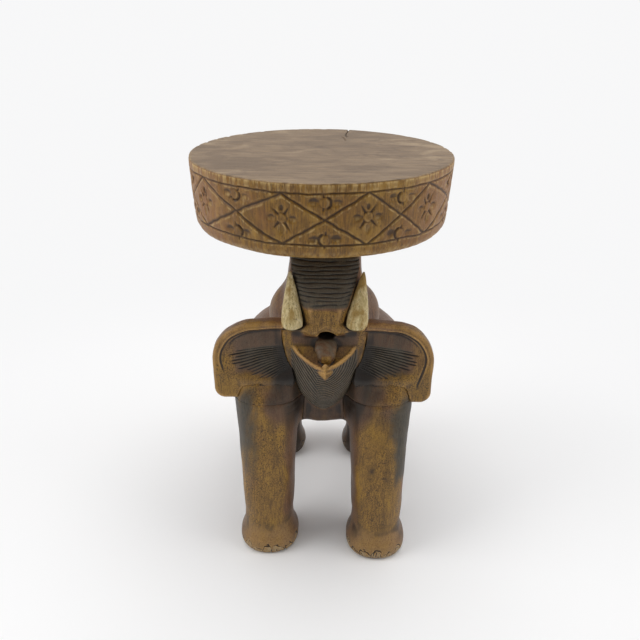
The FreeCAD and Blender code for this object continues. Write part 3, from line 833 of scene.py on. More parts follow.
def drum_faces(rings):
    """Quads between a drum's rings, and triangles to its two poles, which are numbered last."""
    top, bottom = SEAT_COLUMNS * rings, SEAT_COLUMNS * rings + 1
    number = np.arange(top).reshape(SEAT_COLUMNS, rings)
    after = np.roll(number, -1, axis=0)
    quads = np.stack([number[:, :-1], number[:, 1:], after[:, 1:], after[:, :-1]], axis=-1).reshape(-1, 4)
    caps = [(top, a, b) for a, b in zip(number[:, 0], after[:, 0])]
    caps += [(bottom, b, a) for a, b in zip(number[:, -1], after[:, -1])]
    return quads.tolist() + caps


def seat_drum():
    profile, wall_start = seat_profile()
    turn = np.repeat(np.arange(SEAT_COLUMNS) * 360 / SEAT_COLUMNS, len(profile))
    row = np.tile(np.arange(len(profile)), SEAT_COLUMNS)
    radius, z = profile[row].T
    x = radius * np.sin(np.radians(turn))
    y = -radius * np.cos(np.radians(turn))
    on_wall = (row >= wall_start) & (row < wall_start + WALL_RINGS + 2)
    on_top = row < wall_start

    wander = 0.5 * waves(x, y, z, 60, 41) + 0.25 * waves(x, y, z, 14, 42)
    cuts, flank = lattice_cuts(turn, z, wander) * on_wall
    flowers, scoops, light = flower_cuts(turn, z) * on_wall
    chisel = 0.25 * waves(x * 3, y * 3, z * 0.5, 26, 43) + 0.5 * waves(x, y, z, 70, 44)
    rim = np.exp(-((z - SEAT_TOP) / 3.5) ** 2)
    chips = rim * (0.5 + 0.8 * np.clip(waves(x, y, z * 0.5, 13, 45) - 0.35, 0, 2))
    carving = greatest(LINE_DEPTH * cuts, flowers, scoops)
    inward = np.where(on_wall | (z < SEAT_TOP - 0.2), 0.7 + chisel + carving, 0)
    inward = np.clip(inward, 0, None) + chips
    share = 1 - np.where(radius > 100, inward, 0) / np.maximum(radius, 1)
    down = np.where(on_top, 0.12 + 0.12 * waves(x * 0.4, y, z, 40, 46) + 0.5 * rim * chips, 0)
    points = np.stack([x * share, y * share, z - np.clip(down, 0, None)], axis=1)

    poles = np.array([(0, 0, SEAT_TOP - 0.2), (0, 0, SEAT_FOOT + 0.05)])
    thing = mesh_object("seat_drum_carved", np.concatenate([points, poles]), drum_faces(len(profile)))

    def with_poles(values):
        return np.append(values, (values[0], values[-1]))
    stands_out = convexity(thing)
    # Dirt in the cuts and gouges, and painted shadow in the scoops' upper halves.
    dark = greatest(0.68 * fade(cuts, 0.2, 1), 0.8 * fade(flowers, 0.3, 1.6),
                    0.6 * fade(scoops, 0.2, 1.5) * fade(light, 0.3, 0.1))
    # Painted shade: the wall gets darker towards its bottom.
    dark = dark + 0.16 * fade(z, UPPER_LINE - 12, LOWER_LINE) * on_wall
    band = fade(z, UPPER_LINE + 0.5, UPPER_LINE + 3)
    # Wear on the rim and the band below it; painted highlights on the cuts' lower flanks and the scoops'
    # lower halves.
    wear_and_highlight = np.where(on_wall, 0.44 * rim + 0.26 * band, 0) + 0.27 * fade(flank, 0.2, 0.8) * (cuts < 0.15)
    wear_and_highlight = wear_and_highlight + 0.5 * fade(light, 0.2, 0.9)
    # Painted shade in hollows; bare wood on convex edges.
    paint(thing, "dirt_and_shade", with_poles(dark) + np.clip(-stands_out * 2, 0, 0.3))
    paint(thing, "rubbed_and_highlit", with_poles(wear_and_highlight) + np.clip(stands_out * 1.5, 0, 0.35))
    paint(thing, "top", with_poles(on_top & (radius < 144.3)))
    # Painted light: the wall is lighter at the sides than at the front.
    paint(thing, "side", with_poles(fade(np.abs(bow(turn)), 25, 60)))
    crack_open(thing)
    return thing


# The carved pieces: each function makes them, stores their stain with painted light and shade, and yields
# them with their nodes' names

LEG_STEP = 1.0
TORSO_STEP = 1.5
HEAD_STEP = 1.45
EAR_STEP = 1.0
TUSK_STEP = 0.8


def hand_work(x, y, z):
    """The slight unevenness that a chisel leaves."""
    uneven = 0.35 * waves(x, y, z, 38, 61) + 0.14 * waves(x, y, z * 0.5, 13, 62)
    return uneven * fade(from_seam(z), 0.6, 5) * fade(z, 0.5, 5)


def carved_piece(node, field, step, fine=None, cuts=None, seams=()):
    """A sculpted piece with its fine areas and its cuts, and where its points are."""
    thing = sculpt(node, field, step)
    if fine:
        refine(thing, fine)
    settle(thing, field)
    for level, surface_of in seams:
        square_up(thing, surface_of, level, 0.75 * step)
    engrave(thing, hand_work)
    if cuts:
        engrave(thing, cuts)
    return thing, read_points(thing).T


def shade(thing, gold, charcoal_and_shade, dark, rubbed_and_highlit=0, ash=0, crease=4, edges=1):
    """Stores the stain with painted light and shade: golden or reddish, charcoal with some painted shade,
    dirt in cuts with painted shade in creases, bare or ashy edges, and painted highlights passed in with the
    bare wood.
    """
    stands_out = convexity(thing)
    z = read_points(thing)[:, 2]
    bare = np.clip(stands_out * 5 - 0.15, 0, 0.8) * fade(stands_out, 0.32, 0.22)
    bare = bare * fade(from_seam(z), 1.5, 4) * fade(z, 3, 8) * edges
    paint(thing, "gold", gold)
    paint(thing, "charcoal_and_shade", charcoal_and_shade)
    paint(thing, "ash", ash + np.zeros_like(charcoal_and_shade))
    # Painted shade: creases and hollows are darkened by how far they sink below their neighbours, over the
    # dirt passed in.
    paint(thing, "dirt_and_shade", dark + np.clip(-stands_out * crease, 0, 0.6))
    paint(thing, "rubbed_and_highlit", rubbed_and_highlit + bare * (1 - 0.75 * np.clip(charcoal_and_shade, 0, 1)))


def front_tone(x, y, z):
    """How golden, sooty and dark the shoulders and the ears' lower edge are, by their place in front; the
    soot and darkness near the chin are painted shade under the head.
    """
    u = np.abs(x) + 4 * waves(x, y, z * 0.4, 16, 85) + 5 * waves(x, y, z, 45, 86)
    near_chin = fade(u, 76, 42)
    # Near the chin, soot and darkness are painted shade; the soot higher up is stain.
    return 0.85 * fade(u, 44, 82), 0.7 * near_chin + 0.25 * fade(z, 205, 240), 0.08 + 0.42 * near_chin


OUTER_SOOT = {
    # Where it starts and is full, as a share of the half width, and where it ends and is full in height
    1: (0.22, 0.75, 88, 112),
    -1: (0.1, 0.75, 100, 150),
}


def outer_soot(x, y, z, side):
    """Charcoal down the outer side of a front leg, with a ragged edge, and how far out a point lies."""
    start, end, low_end, low_start = OUTER_SOOT[side]
    out = (side * x - LEG_X) / through(z, *COLUMNS["front"])
    ragged = out + 0.12 * waves(x, y, z * 0.5, 45, 71) + 0.06 * waves(x, y, z * 0.4, 12, 76)
    level = z + 9 * waves(x, y, z, 40, 82)
    wider = 0.12 * fade(z, 150, 185)
    in_front = fade(y + 7 * waves(x, y, z * 0.6, 34, 89), -24, -62)
    soot = fade(ragged, start - wider, end - wider) * in_front
    return soot * fade(level, low_end, low_start) * fade(level, 222, 192), out


def stain_leg(leg, thing, x, y, z):
    """Golden in front, sooty outside, cream on the nails, darker inside with painted shade, and painted shade
    near the chin. A rear leg is mostly painted shade under the belly.
    """
    side, row, *_ = LEGS[leg]
    lines, nails = nail_cuts(x, y, z, leg)
    charcoal_and_shade, out = outer_soot(x, y, z, side)
    inner = fade(-out + 0.15 * waves(x, y, z * 0.5, 30, 80), 0.45, 0.95) * fade(z, 30, 60)
    facing = fade(-read_normals(thing)[:, 1], -0.1, 0.9)
    foot = fade(z, 50, 26)
    streaks = fade(waves(x, y, z * 0.25, 14, 79), 0, 0.7)
    high = fade(z, 155, 198)
    high_gold, high_soot_and_shade, high_dark = front_tone(x, y, z)
    gold = facing * (1 - 0.75 * inner) * (1 - 0.45 * foot)
    gold = gold * (1 - high) + 0.9 * high_gold * facing * high
    # High up, the soot and darkness near the chin are painted shade under the head.
    charcoal_and_shade = np.maximum(charcoal_and_shade, 0.6 * high_soot_and_shade * high)
    # Dirt in the nail lines and dark streaks; painted shade on the inner sides between the legs; a little
    # darker on faces turned from the front.
    dark = 0.8 * lines + 0.22 * inner + 0.14 * (1 - facing) + 0.16 * streaks * (0.4 + 0.6 * fade(z, 130, 185))
    dark = dark + 0.8 * high_dark * high
    if row == "rear":
        # Painted shade under the belly on a rear leg's lower part.
        under_belly = (0.3 + 0.5 * facing) * fade(z, 190, 140)
        gold, charcoal_and_shade, dark = 0.1 * facing, 0.2 * charcoal_and_shade, 0.8 * lines + under_belly
    if leg == "front_left_leg":
        knot = np.exp(-((x - 56.7) / 3.5) ** 2 - ((z - 121) / 5) ** 2)
        dark = dark + 0.1 + 0.5 * knot
    smudge = np.exp(-((z - 34) / 12) ** 2) * fade(waves(x, y, z, 18, 77), -0.1, 0.7)
    cream = nails * np.clip(0.7 + 0.7 * waves(x, y, z * 0.5, 6, 73), 0, 1)
    paint(thing, "cream", 0.75 * cream * (1 - lines))
    shade(thing, gold, charcoal_and_shade, dark + 0.4 * smudge, 0.46 * foot * facing, 0.25 * foot)


def legs():
    for leg, (_, row, foot_y, *_) in LEGS.items():
        def fine(x, y, z):
            return (z < 18) & (y < foot_y + 8)

        def cuts(x, y, z):
            return NAIL_DEPTH * nail_cuts(x, y, z, leg)[0]
        seams = [(LEG_TOP[row] - SEAM, leg_skin(leg, [leg]))]
        thing, places = carved_piece(leg, leg_piece(leg), LEG_STEP, fine, cuts, seams)
        stain_leg(leg, thing, *places)
        yield leg, thing


def torso():
    seams = [(LEG_TOP[row], leg_skin(leg, LEGS, SEAM)) for leg, (_, row, *_) in LEGS.items()]
    thing, (x, y, z) = carved_piece("torso", torso_field, TORSO_STEP, seams=seams)
    in_front = fade(y, -55, -80)
    chest = in_front * fade(np.abs(x), 50, 36)
    side_stain = fade(np.abs(read_normals(thing)[:, 0]), 0.6, 0.95) * fade(z, 250, 215) * fade(y, -30, -60)
    gold, soot, dark = front_tone(x, y, z)
    outer = [outer_soot(x, y, z, side)[0] for side in SIDES.values()]
    # The front's soot near the chin is painted shade; the charcoal on the sides and legs is stain.
    soot = greatest(0.8 * side_stain, soot * in_front * (1 - chest), *outer)
    # Painted shade on the chest under the head, and near the chin.
    dark = np.maximum(0.5 * chest, dark * in_front)
    off_legs = np.min([np.abs(column(x, y, z, leg) - LEG_SKIN) for leg in LEGS], axis=0)
    edges = fade(off_legs, 1.5, 4) * (1 - 0.8 * fade(y, 105, 120))
    shade(thing, gold * in_front, soot, dark, edges=edges)
    yield "torso", thing


def head_areas(x, y, z):
    """The areas of the head that differ in stain, wear or painted light and shade, each from 0 to 1."""
    on = SimpleNamespace()
    on.ridges, on.face = trunk_cuts(x, y, z)
    on.comb, on.chin = chin_cuts(x, y, z)
    on.mottle = fade(waves(x, y, z, 7, 81), -0.6, 0.5)
    on.bridge = fade(z, 320, 314) * fade(z, 284, 290) * fade(y, -86, -92)
    on.dish = fade(y, -96, -99) * fade(z, 244, 252) * fade(z, 276, 272) * (1 - on.chin)
    on.strip = (1 - on.chin) * fade(cheek(z) - np.abs(x), 14, 8) * fade(y, -80, -88)
    on.strip *= fade(z, 200, 228) * fade(z, 292, 286)
    # The recess between the lip and the jaw, which gets painted shade.
    on.recess = fade(z, 289, 287) * fade(z, 268, 271) * fade(y, -101, -98) * fade(y, -80, -86)
    on.recess *= 1 - on.strip
    on.tongue = fade(tongue(x, y, z), 1.2, 0.3)
    on.tongue_tip = on.tongue * fade(z, 269, 265) * fade(np.abs(x - MOUTH_X), 7, 4)
    on.knob = fade(egg(x, y, z, *KNOB), 1.2, 0.2)
    return on


def off_tusks(x, y, z):
    return np.minimum(*[tusk_field(x, y, z, side) for side in SIDES.values()])


def head_gold(on, y):
    gold = np.clip(on.bridge + 0.5 * on.dish + 0.7 * on.strip, 0, 1)
    gold *= (1 - on.face) * (1 - on.chin) * (1 - 0.5 * on.tongue)
    return greatest(gold, on.tongue_tip, on.knob, 0.3 * fade(y, -75, -55))


def head_highlights_and_wear(on, x, y, z):
    """Painted highlights along the jaw's rim, the lip's edge, the sides of the muzzle and the ridges beside
    the tusks, on the knob's left facet, the top of the head and the dish; lighter wood on the knob and the
    tongue's tip.
    """
    rim_edge = fade(np.abs(jaw_rim(y) - z - 0.5), 1.8, 0.4) * fade(y, -95, -99)
    rim_edge *= fade(np.abs(prow(x, y, z, 0) + 0.5), 1.8, 0.5) * (1 - on.knob)
    ridge = fade(off_tusks(x, y, z), 3.5, 1.5) * fade(np.abs(x), 40, 44) * fade(z, 284, 290)
    side_edge = fade(np.abs(cheek(z) - np.abs(x) - 2), 2.2, 0.6) * fade(y, -86, -90) * fade(z, 236, 262)
    lip_edge = fade(np.abs(z - lip_low(x) - 1.5), 2.2, 0.6) * fade(y, -101, -105) * fade(np.abs(x), 46, 42)
    wear_and_highlight = on.mottle * (0.36 * rim_edge + 0.6 * side_edge + 0.3 * on.tongue_tip + 0.4 * lip_edge)
    wear_and_highlight += 0.75 * ridge + 0.1 * fade(y, -88, -76) * fade(z, 290, 305) + 0.2 * on.dish * (1 - on.tongue)
    return np.clip(wear_and_highlight + on.knob * (0.05 + 0.4 * fade(x - KNOB[0][0], 1, -1)), 0, 1)


def head_soot_and_shade(on, x, z):
    low_side = fade(z, 235, 208) * fade(np.abs(x), 22, 30)
    # The recess between the lip and the jaw gets painted shade here; the rest is charcoal stain.
    soot = 1.05 * on.face + 0.9 * on.chin + 0.25 * on.recess + 0.3 * low_side
    return np.clip(soot + 0.42 * on.tongue * (1 - on.tongue_tip), 0, 1) * (1 - on.knob)


def head_dark(on, x, y, z):
    """Dirt in the cuts and the tusks' sockets; painted shade in the throat, in the recess and under the lip,
    and round the tongue; the strips darker towards the bottom.
    """
    throat = fade(np.hypot((x - MOUTH_X) / 11, (z - 287) / 8.5), 1.15, 0.6)
    throat *= fade(y, -112, -100) * fade(y, -60, -72)
    socket = fade(off_tusks(x, y, z), 4, 1.5) * fade(np.abs(x), 38, 33) * fade(z, 286, 292)
    round_tongue = fade(tongue(x, y, z), 4, 1.5) * (1 - on.tongue) * fade(y, -94, -97) * fade(z, 282, 276)
    dark = 0.8 * on.ridges + 0.95 * on.comb + 0.95 * throat + 0.75 * socket + 0.35 * round_tongue
    # Painted shade in the recess, darkest under the lip.
    dark += on.recess * (0.35 + 0.4 * fade(z, 279, 286)) + 0.16 * on.bridge + 0.08 * on.chin
    return (dark + 0.5 * on.strip * fade(z, 290, 258)) * (1 - on.knob)


def head():
    def fine(x, y, z):
        chin = (z < 272) & (y < -80) & (np.abs(x) < 38) & (z > 176)
        face = (z > 314) & (np.abs(x) < 42) & (y < 15) & (y < (z - 385) * 0.9 - 52)
        mouth = (np.abs(x) < 48) & (z > 262) & (z < 305) & (y < -88)
        return chin | face | mouth

    def cuts(x, y, z):
        return CHIN_DEPTH * chin_cuts(x, y, z)[0] + TRUNK_DEPTH * trunk_cuts(x, y, z)[0]
    thing, (x, y, z) = carved_piece("head_and_trunk", head_field, HEAD_STEP, fine, cuts)
    on = head_areas(x, y, z)
    ash = 0.4 * on.chin * (1 - on.comb) + 0.22 * on.face * (1 - on.ridges)
    ash += 0.45 * on.tongue * on.mottle * (1 - on.tongue_tip)
    beside_chin = fade(np.abs(x), 27, 32) * fade(y, -82, -87) * fade(z, 272, 266)
    # Less painted shade in the creases by the strips and beside the chin.
    crease = 4 - 3.6 * np.maximum(on.strip, beside_chin)
    shade(thing, head_gold(on, y), head_soot_and_shade(on, x, z), head_dark(on, x, y, z), head_highlights_and_wear(on, x, y, z), ash,
          crease)
    yield "head_and_trunk", thing


EAR_SOOT = {1: 0.45, -1: 0.36}


def stain_ear(ear, thing, x, y, z):
    """A golden rim and lobe, a sooty field with an ashy fan, dirt in the cuts, and painted shade at the root
    beside the head and near the chin.
    """
    side = EARS[ear][0]
    u = side * x
    rim, comb = ear_cuts(u, y, z, ear)
    in_front = fade(y, -84, -90)
    border = fade(-ear_outline(u, z, ear) - rim_width(z), 1, -1)
    reach, turn, longest = comb_reach(u, z)
    fan = fade(turn, 3.5, 6.5) * fade(turn, 33, 27) * fade(reach, longest + 1, longest - 20)
    # Painted shade where the ear meets the head.
    root = fade(u, 60, 42) * fade(z, 222, 240) * fade(z, 285, 270)
    field = (1 - border) * fade(z, 226, 238) * fade(u, 110, 90)
    low_gold, low_soot_and_shade, low_dark = fade(z, 242, 230) * np.array(front_tone(x, y, z))
    golden_rim = border * (0.7 - 0.35 * fade(u, 92, 62))
    gold = greatest(golden_rim, 0.65 * fade(u, 88, 104), low_gold) * (1 - 0.8 * fan)
    charcoal_and_shade = EAR_SOOT[side] * field + (0.5 + 0.3 * fade(reach, 95, 70)) * fan + 0.3 * root
    charcoal_and_shade = np.clip(np.maximum(charcoal_and_shade, low_soot_and_shade), 0, 1)
    ash = 0.5 * fan * (1 - comb) * fade(reach, 60, 82)
    dark = 0.65 * rim + comb + in_front * (0.1 + 0.17 * field + 0.42 * root + low_dark)
    shade(thing, in_front * gold, in_front * charcoal_and_shade, dark, 0, in_front * ash)


def ears():
    for ear, (side, *_) in EARS.items():
        def fine(x, y, z):
            return (y < -82) & (z > 222) & (z < 268) & (side * x < 104)

        def cuts(x, y, z):
            rim, comb = ear_cuts(side * x, y, z, ear)
            return RIM_DEPTH * rim + COMB_DEPTH * comb
        thing, places = carved_piece(ear, ear_field(ear), EAR_STEP, fine, cuts)
        stain_ear(ear, thing, *places)
        yield ear, thing


def tusks():
    for name, side in SIDES.items():
        node = f"{name}_tusk"
        thing, (x, _, z) = carved_piece(node, partial(tusk_field, side=side), TUSK_STEP)
        foot = fade(z, TUSK_BASE[2] + 6, TUSK_BASE[2] + 1)
        inner = fade(-side * (x - side * 35), 5, 9)
        shade(thing, np.zeros_like(x), 0.3 * inner, 0.6 * foot)
        yield node, thing


# Materials

def colour(*screen):
    """A colour given as red, green and blue from 0 to 255 on a screen."""
    shares = [value / 255 for value in screen]
    return (*[s / 12.92 if s <= 0.04045 else ((s + 0.055) / 1.055) ** 2.4 for s in shares], 1)


class Paint:
    """The nodes of a material or a world, with the few kinds that these finishes need."""

    def __init__(self, owner):
        self.owner = owner
        owner.use_nodes = True
        self.tree = owner.node_tree
        self.tree.nodes.clear()
        self.places = self.node("TexCoord").outputs

    def node(self, kind, inputs=None, **settings):
        made = self.tree.nodes.new(f"ShaderNode{kind}")
        for name, value in settings.items():
            setattr(made, name, value)
        for name, value in (inputs or {}).items():
            if isinstance(value, bpy.types.NodeSocket):
                self.tree.links.new(value, made.inputs[name])
            else:
                made.inputs[name].default_value = value
        return made

    def stored(self, name):
        return self.node("Attribute", attribute_name=name).outputs["Fac"]

    def seen(self, other):
        """1 for what the camera sees, or what another kind of ray meets."""
        rays = self.node("LightPath").outputs
        return self.sums("MAXIMUM", rays["Is Camera Ray"], rays[other])

    def stretched(self, scale):
        return self.node("Mapping", {"Vector": self.places["Object"], "Scale": scale}).outputs[0]

    def noise(self, scale, detail=4, roughness=0.55, distortion=0):
        """Noise with so many spots a metre along each axis."""
        inputs = {"Vector": self.stretched(scale), "Scale": 1, "Detail": detail, "Roughness": roughness}
        return self.node("TexNoise", {**inputs, "Distortion": distortion}).outputs[0]

    def spots(self, scale):
        return self.node("TexVoronoi", {"Vector": self.stretched(scale), "Scale": 1}).outputs["Distance"]

    def span(self, value, low, high, start=0, end=1, way="SMOOTHSTEP"):
        """A value stretched so that low becomes start and high becomes end, and held between them."""
        return self.node("MapRange", {"Value": value, 1: low, 2: high, 3: start, 4: end},
                         interpolation_type=way).outputs[0]

    def sums(self, operation, *values):
        """Values taken together by one operation, from the first on."""
        def pair(first, second):
            return self.node("Math", {0: first, 1: second}, operation=operation).outputs[0]
        return reduce(pair, values)

    def broken(self, name, value, low, high, start):
        """A stored number, weaker where a value is low."""
        return self.sums("MULTIPLY", self.stored(name), self.span(value, low, high, start))

    def mixed(self, share, first, second):
        return self.node("Mix", {"Factor": share, 6: first, 7: second}, data_type="RGBA").outputs[2]

    def tones(self, value, first, second, low=0.3, high=0.7):
        """From one colour to another with a value."""
        return self.mixed(self.span(value, low, high), colour(*first), colour(*second))

    def layers(self, base, *rows):
        """Colours over a base: a value, where it starts and is full, the most it covers, the colour."""
        for value, low, high, most, over in rows:
            base = self.mixed(self.span(value, low, high, 0, most), base, colour(*over))
        return base

    def relief(self, grain, speck, pits):
        return self.sums("ADD", self.sums("MULTIPLY", grain, 0.6), self.sums("MULTIPLY", speck, -pits))

    def finish(self, base, roughness, height, bump_depth, **shine):
        bump = self.node("Bump", {"Height": height, "Strength": 1, "Distance": bump_depth})
        shader = self.node("BsdfPrincipled", {"Base Color": base, "Roughness": roughness,
                                              "Normal": bump.outputs[0], **shine})
        self.node("OutputMaterial", {0: shader.outputs[0]})
        return self.owner


WAXED = {"Specular IOR Level": 0.4}


def animal_wood():
    """Stained and waxed wood: golden or reddish brown, charcoal stain with some painted shade, dirt in the
    cuts with painted shade in hollows, bare edges with painted highlights.
    """
    paint = Paint(bpy.data.materials.new("animal_wood"))
    fibre = paint.noise((640, 640, 75), 5, 0.68)
    band = paint.noise((75, 75, 16), 3, 0.55, 0.6)
    cloud = paint.noise((28, 28, 20))
    pores = paint.spots((950, 950, 420))
    speck = paint.noise((820, 820, 680), 2, 0.6)
    patch = paint.noise((34, 34, 18), 3, 0.5, 0.5)
    gilt, charcoal_and_shade = paint.stored("gold"), paint.stored("charcoal_and_shade")

    golden = paint.layers(paint.tones(fibre, (112, 80, 31), (170, 128, 54)),
                          (patch, 0.5, 0.7, 0.5, (180, 136, 46)),
                          (band, 0.45, 0.7, 0.45, (94, 66, 28)),
                          (cloud, 0.55, 0.75, 0.4, (118, 80, 44)))
    reddish = paint.layers(paint.tones(fibre, (100, 68, 43), (142, 102, 68)),
                           (cloud, 0.42, 0.7, 0.55, (138, 110, 86)))
    uneven = paint.sums("ADD", gilt, paint.span(patch, 0.3, 0.7, -0.2, 0.2))
    base = paint.mixed(paint.span(uneven, 0.15, 0.85), reddish, golden)

    dots = paint.sums("MULTIPLY", paint.span(speck, 0.5, 0.6), paint.span(cloud, 0.36, 0.6, 0.4, 0.85),
                      paint.span(gilt, 0, 0.8, 0.45))
    base = paint.mixed(dots, base, colour(50, 34, 16))
    base = paint.layers(base, (pores, 0.3, 0.1, 0.5, (50, 34, 20)))
    streaky = paint.sums("MULTIPLY", paint.span(fibre, 0.35, 0.65, -0.16, 0.16), paint.span(charcoal_and_shade, 0, 0.3))
    soot = paint.sums("ADD", charcoal_and_shade, paint.span(band, 0.35, 0.65, -0.15, 0.1), streaky)
    soot = paint.span(soot, 0, 1, 0, 0.94)
    base = paint.mixed(soot, base, paint.tones(fibre, (52, 49, 41), (84, 78, 66), 0.35))
    base = paint.mixed(paint.broken("ash", speck, 0.35, 0.6, 0.5), base, colour(122, 112, 90))
    # Bare edges and painted highlights.
    wear_and_highlight = paint.broken("rubbed_and_highlit", speck, 0.35, 0.6, 0.45)
    base = paint.layers(base, (wear_and_highlight, 0.05, 0.8, 0.8, (204, 158, 92)))
    base = paint.mixed(paint.broken("cream", fibre, 0.35, 0.6, 0.35), base, colour(186, 164, 124))
    # Dirt in the cuts and painted shade in creases and hollows.
    base = paint.layers(base, (paint.stored("dirt_and_shade"), 0.05, 0.8, 0.9, (26, 19, 15)))

    rough = paint.sums("ADD", paint.span(fibre, 0.3, 0.7, 0.4, 0.54), paint.span(soot, 0, 1, 0, 0.08))
    coat = {"Coat Weight": 0.06, "Coat Roughness": 0.3}
    return paint.finish(base, rough, paint.relief(fibre, speck, 0.4), 0.0005, **WAXED, **coat)


def seat_wood():
    """The drum: golden brown wall with upright grain, lighter at the sides as painted light, and a worn
    greyish top with grain along X; bare wood with painted highlights, and dirt with painted shade.
    """
    paint = Paint(bpy.data.materials.new("seat_wood"))
    upright = paint.noise((620, 620, 48), 5, 0.65)
    streak = paint.noise((150, 150, 22), 3, 0.55, 0.5)
    cloud = paint.noise((30, 30, 24))
    long_grain = paint.noise((30, 300, 60), 5, 0.62, 0.35)
    patches = paint.noise((13, 24, 20), 4, 0.6, 0.8)
    stains = paint.noise((34, 60, 40), 4, 0.65, 1.2)
    pores = paint.spots((1000, 1000, 300))
    speck = paint.noise((640, 640, 400), 3, 0.7)
    patch = paint.noise((48, 48, 34), 3, 0.6, 0.8)
    chips = paint.noise((330, 330, 60), 3, 0.6)
    on_top = paint.stored("top")

    wall = paint.layers(paint.tones(upright, (103, 71, 22), (151, 109, 38)),
                        (patch, 0.48, 0.66, 0.55, (172, 132, 56)),
                        (streak, 0.48, 0.72, 0.45, (98, 68, 32)),
                        (cloud, 0.5, 0.72, 0.5, (128, 84, 50)),
                        # painted light: the wall lighter at the sides than at the front
                        (paint.stored("side"), 0, 1, 0.5, (158, 110, 74)),
                        (speck, 0.56, 0.66, 0.55, (66, 46, 24)))
    top = paint.layers(paint.tones(long_grain, (115, 95, 74), (142, 120, 94)),
                       (patches, 0.45, 0.65, 0.55, (98, 80, 62)),
                       (patches, 0.46, 0.3, 0.6, (170, 147, 118)),
                       (stains, 0.54, 0.7, 0.4, (86, 69, 54)),
                       (speck, 0.6, 0.7, 0.3, (84, 70, 58)))
    base = paint.layers(paint.mixed(on_top, wall, top),
                        (pores, 0.2, 0.05, 0.3, (64, 46, 30)),
                        # bare wood and painted highlights, then dirt and painted shade
                        (paint.broken("rubbed_and_highlit", chips, 0.38, 0.6, 0.25), 0.05, 0.8, 0.8, (204, 172, 112)),
                        (paint.stored("dirt_and_shade"), 0.08, 0.9, 0.8, (55, 38, 22)))

    rough = paint.span(upright, 0.3, 0.7, 0.44, 0.58)
    grain = paint.mixed(on_top, upright, long_grain)
    coat = {"Coat Weight": 0.04, "Coat Roughness": 0.35}
    return paint.finish(base, rough, paint.relief(grain, speck, 0.3), 0.0005, **WAXED, **coat)


def tusk_bone():
    """Pale and dull, with dirt in its pores and along its edges, darker towards the trunk, and painted shade
    in hollows.
    """
    paint = Paint(bpy.data.materials.new("tusk_bone"))
    cloud = paint.noise((70, 70, 45), 4, 0.6)
    streak = paint.noise((420, 420, 60), 4, 0.6)
    speck = paint.noise((520, 520, 400), 3, 0.7)
    base = paint.layers(paint.tones(streak, (186, 164, 110), (224, 206, 156), 0.35, 0.65),
                        (cloud, 0.48, 0.64, 0.85, (164, 130, 64)),
                        (cloud, 0.42, 0.3, 0.7, (236, 226, 192)),
                        (speck, 0.56, 0.68, 0.75, (104, 84, 46)),
                        (paint.stored("charcoal_and_shade"), 0, 1, 0.55, (104, 92, 58)),
                        (paint.stored("dirt_and_shade"), 0.1, 0.9, 0.85, (48, 38, 24)))
    return paint.finish(base, paint.span(cloud, 0.3, 0.7, 0.45, 0.6), speck, 0.0004, **WAXED)


def dowel_wood():
    """Bare pale hardwood with fine long grain."""
    paint = Paint(bpy.data.materials.new("dowel_wood"))
    grain = paint.noise((400, 400, 60), 4, 0.6)
    base = paint.tones(grain, (190, 156, 110), (222, 192, 148))
    return paint.finish(base, paint.span(grain, 0.3, 0.7, 0.5, 0.65), grain, 0.0003)


# The stage, the light and the camera. The lights and the camera are placed in metres.

BACKGROUND = (0.935, 0.935, 0.94, 1)
FLOOR = (0.97, 0.97, 0.972, 1)
FLOOR_REACH = 14000
LIGHTS = {
    # Place, size and power
    "key": ((-1.6, -0.4, 1.7), 1.3, 15),
    "fill": ((1.7, -0.3, 1.5), 1.6, 10),
    "overhead": ((0.1, 0.3, 2.4), 1.6, 19),
}
LIT = Vector((0, 0, 0.25))
EYE = Vector((0, -0.7105, 0.602))
LOOKS_DOWN, ROLL = 26.1, 0.5


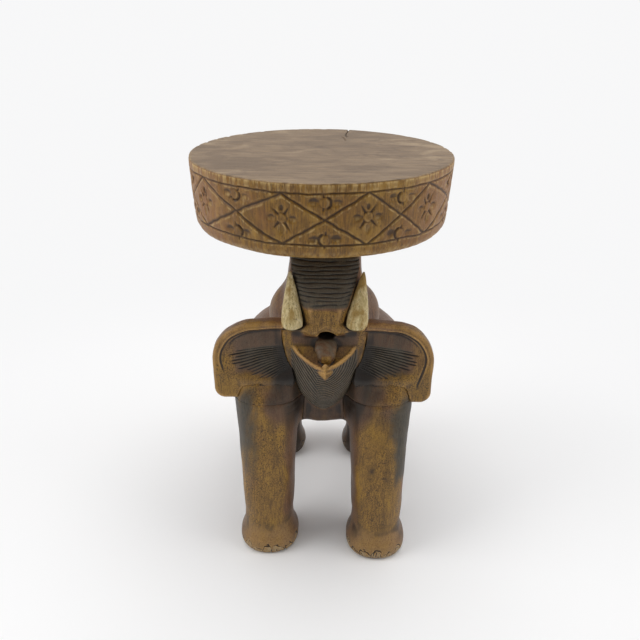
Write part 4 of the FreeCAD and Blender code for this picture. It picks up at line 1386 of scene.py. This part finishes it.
def backdrop():
    """A wide pale floor that turns into the plain white of the background away from the stool."""
    turn = np.linspace(0, 2 * math.pi, 96, endpoint=False)
    rim = np.stack([np.cos(turn), np.sin(turn), np.zeros_like(turn)], axis=1)
    floor = mesh_object("backdrop", rim * FLOOR_REACH, [tuple(range(len(rim)))])
    paint = Paint(bpy.data.materials.new("backdrop"))
    far = paint.node("VectorMath", {0: paint.places["Object"]}, operation="LENGTH").outputs["Value"]
    white = paint.sums("MULTIPLY", paint.span(far, 0.05, 1), paint.seen("Is Glossy Ray"))
    lit = paint.node("BsdfDiffuse", {"Color": FLOOR})
    plain = paint.node("Emission", {"Color": BACKGROUND, "Strength": 1})
    mixed = paint.node("MixShader", {0: white, 1: lit.outputs[0], 2: plain.outputs[0]})
    paint.node("OutputMaterial", {0: mixed.outputs[0]})
    floor.data.materials.append(paint.owner)


def lights():
    for name, (place, size, power) in LIGHTS.items():
        data = bpy.data.lights.new(name, "AREA")
        data.shape = "DISK"
        data.size = size
        data.energy = power
        light = new_object(name, data)
        light.location = place
        light.rotation_euler = (LIT - Vector(place)).to_track_quat("-Z", "Y").to_euler()


def studio():
    """The room's even light, weaker from in front, round the plain background that the camera sees."""
    paint = Paint(bpy.data.worlds.new("studio"))
    axes = paint.node("SeparateXYZ", {0: paint.places["Generated"]}).outputs
    room = paint.span(axes["Y"], -0.9, 0, 0.16, 0.6, "LINEAR")
    strength = paint.span(paint.seen("Is Transmission Ray"), 0, 1, room, 1, "LINEAR")
    light = paint.node("Background", {0: BACKGROUND, 1: strength})
    paint.node("OutputWorld", {0: light.outputs[0]})
    bpy.context.scene.world = paint.owner


def camera():
    """The photograph's view, fitted to the seat's ellipse and the feet on the floor."""
    data = bpy.data.cameras.new("camera")
    data.sensor_width = 36
    data.lens = 36
    eye = new_object("camera", data)
    tilt = Matrix.Rotation(math.radians(90 - LOOKS_DOWN), 4, "X")
    eye.matrix_world = Matrix.Translation(EYE) @ tilt @ Matrix.Rotation(math.radians(ROLL), 4, "Z")
    bpy.context.scene.camera = eye


# The stool

def dress(node, thing, material):
    """Puts a carved piece in the place of its CAD node."""
    thing.data.materials.append(material)
    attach(thing, "root")
    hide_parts(node)


def stool():
    wood, seat, bone, peg = animal_wood(), seat_wood(), tusk_bone(), dowel_wood()
    for maker in (legs, torso, head, ears):
        for node, thing in maker():
            dress(node, thing, wood)
    for node, thing in tusks():
        dress(node, thing, bone)
    dress("seat_drum", seat_drum(), seat)
    for node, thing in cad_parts.items():
        if node.endswith("dowels"):
            thing.data.materials.clear()
            thing.data.materials.append(peg)


stool()
backdrop()
lights()
studio()
camera()
bpy.context.scene.view_settings.view_transform = "Standard"
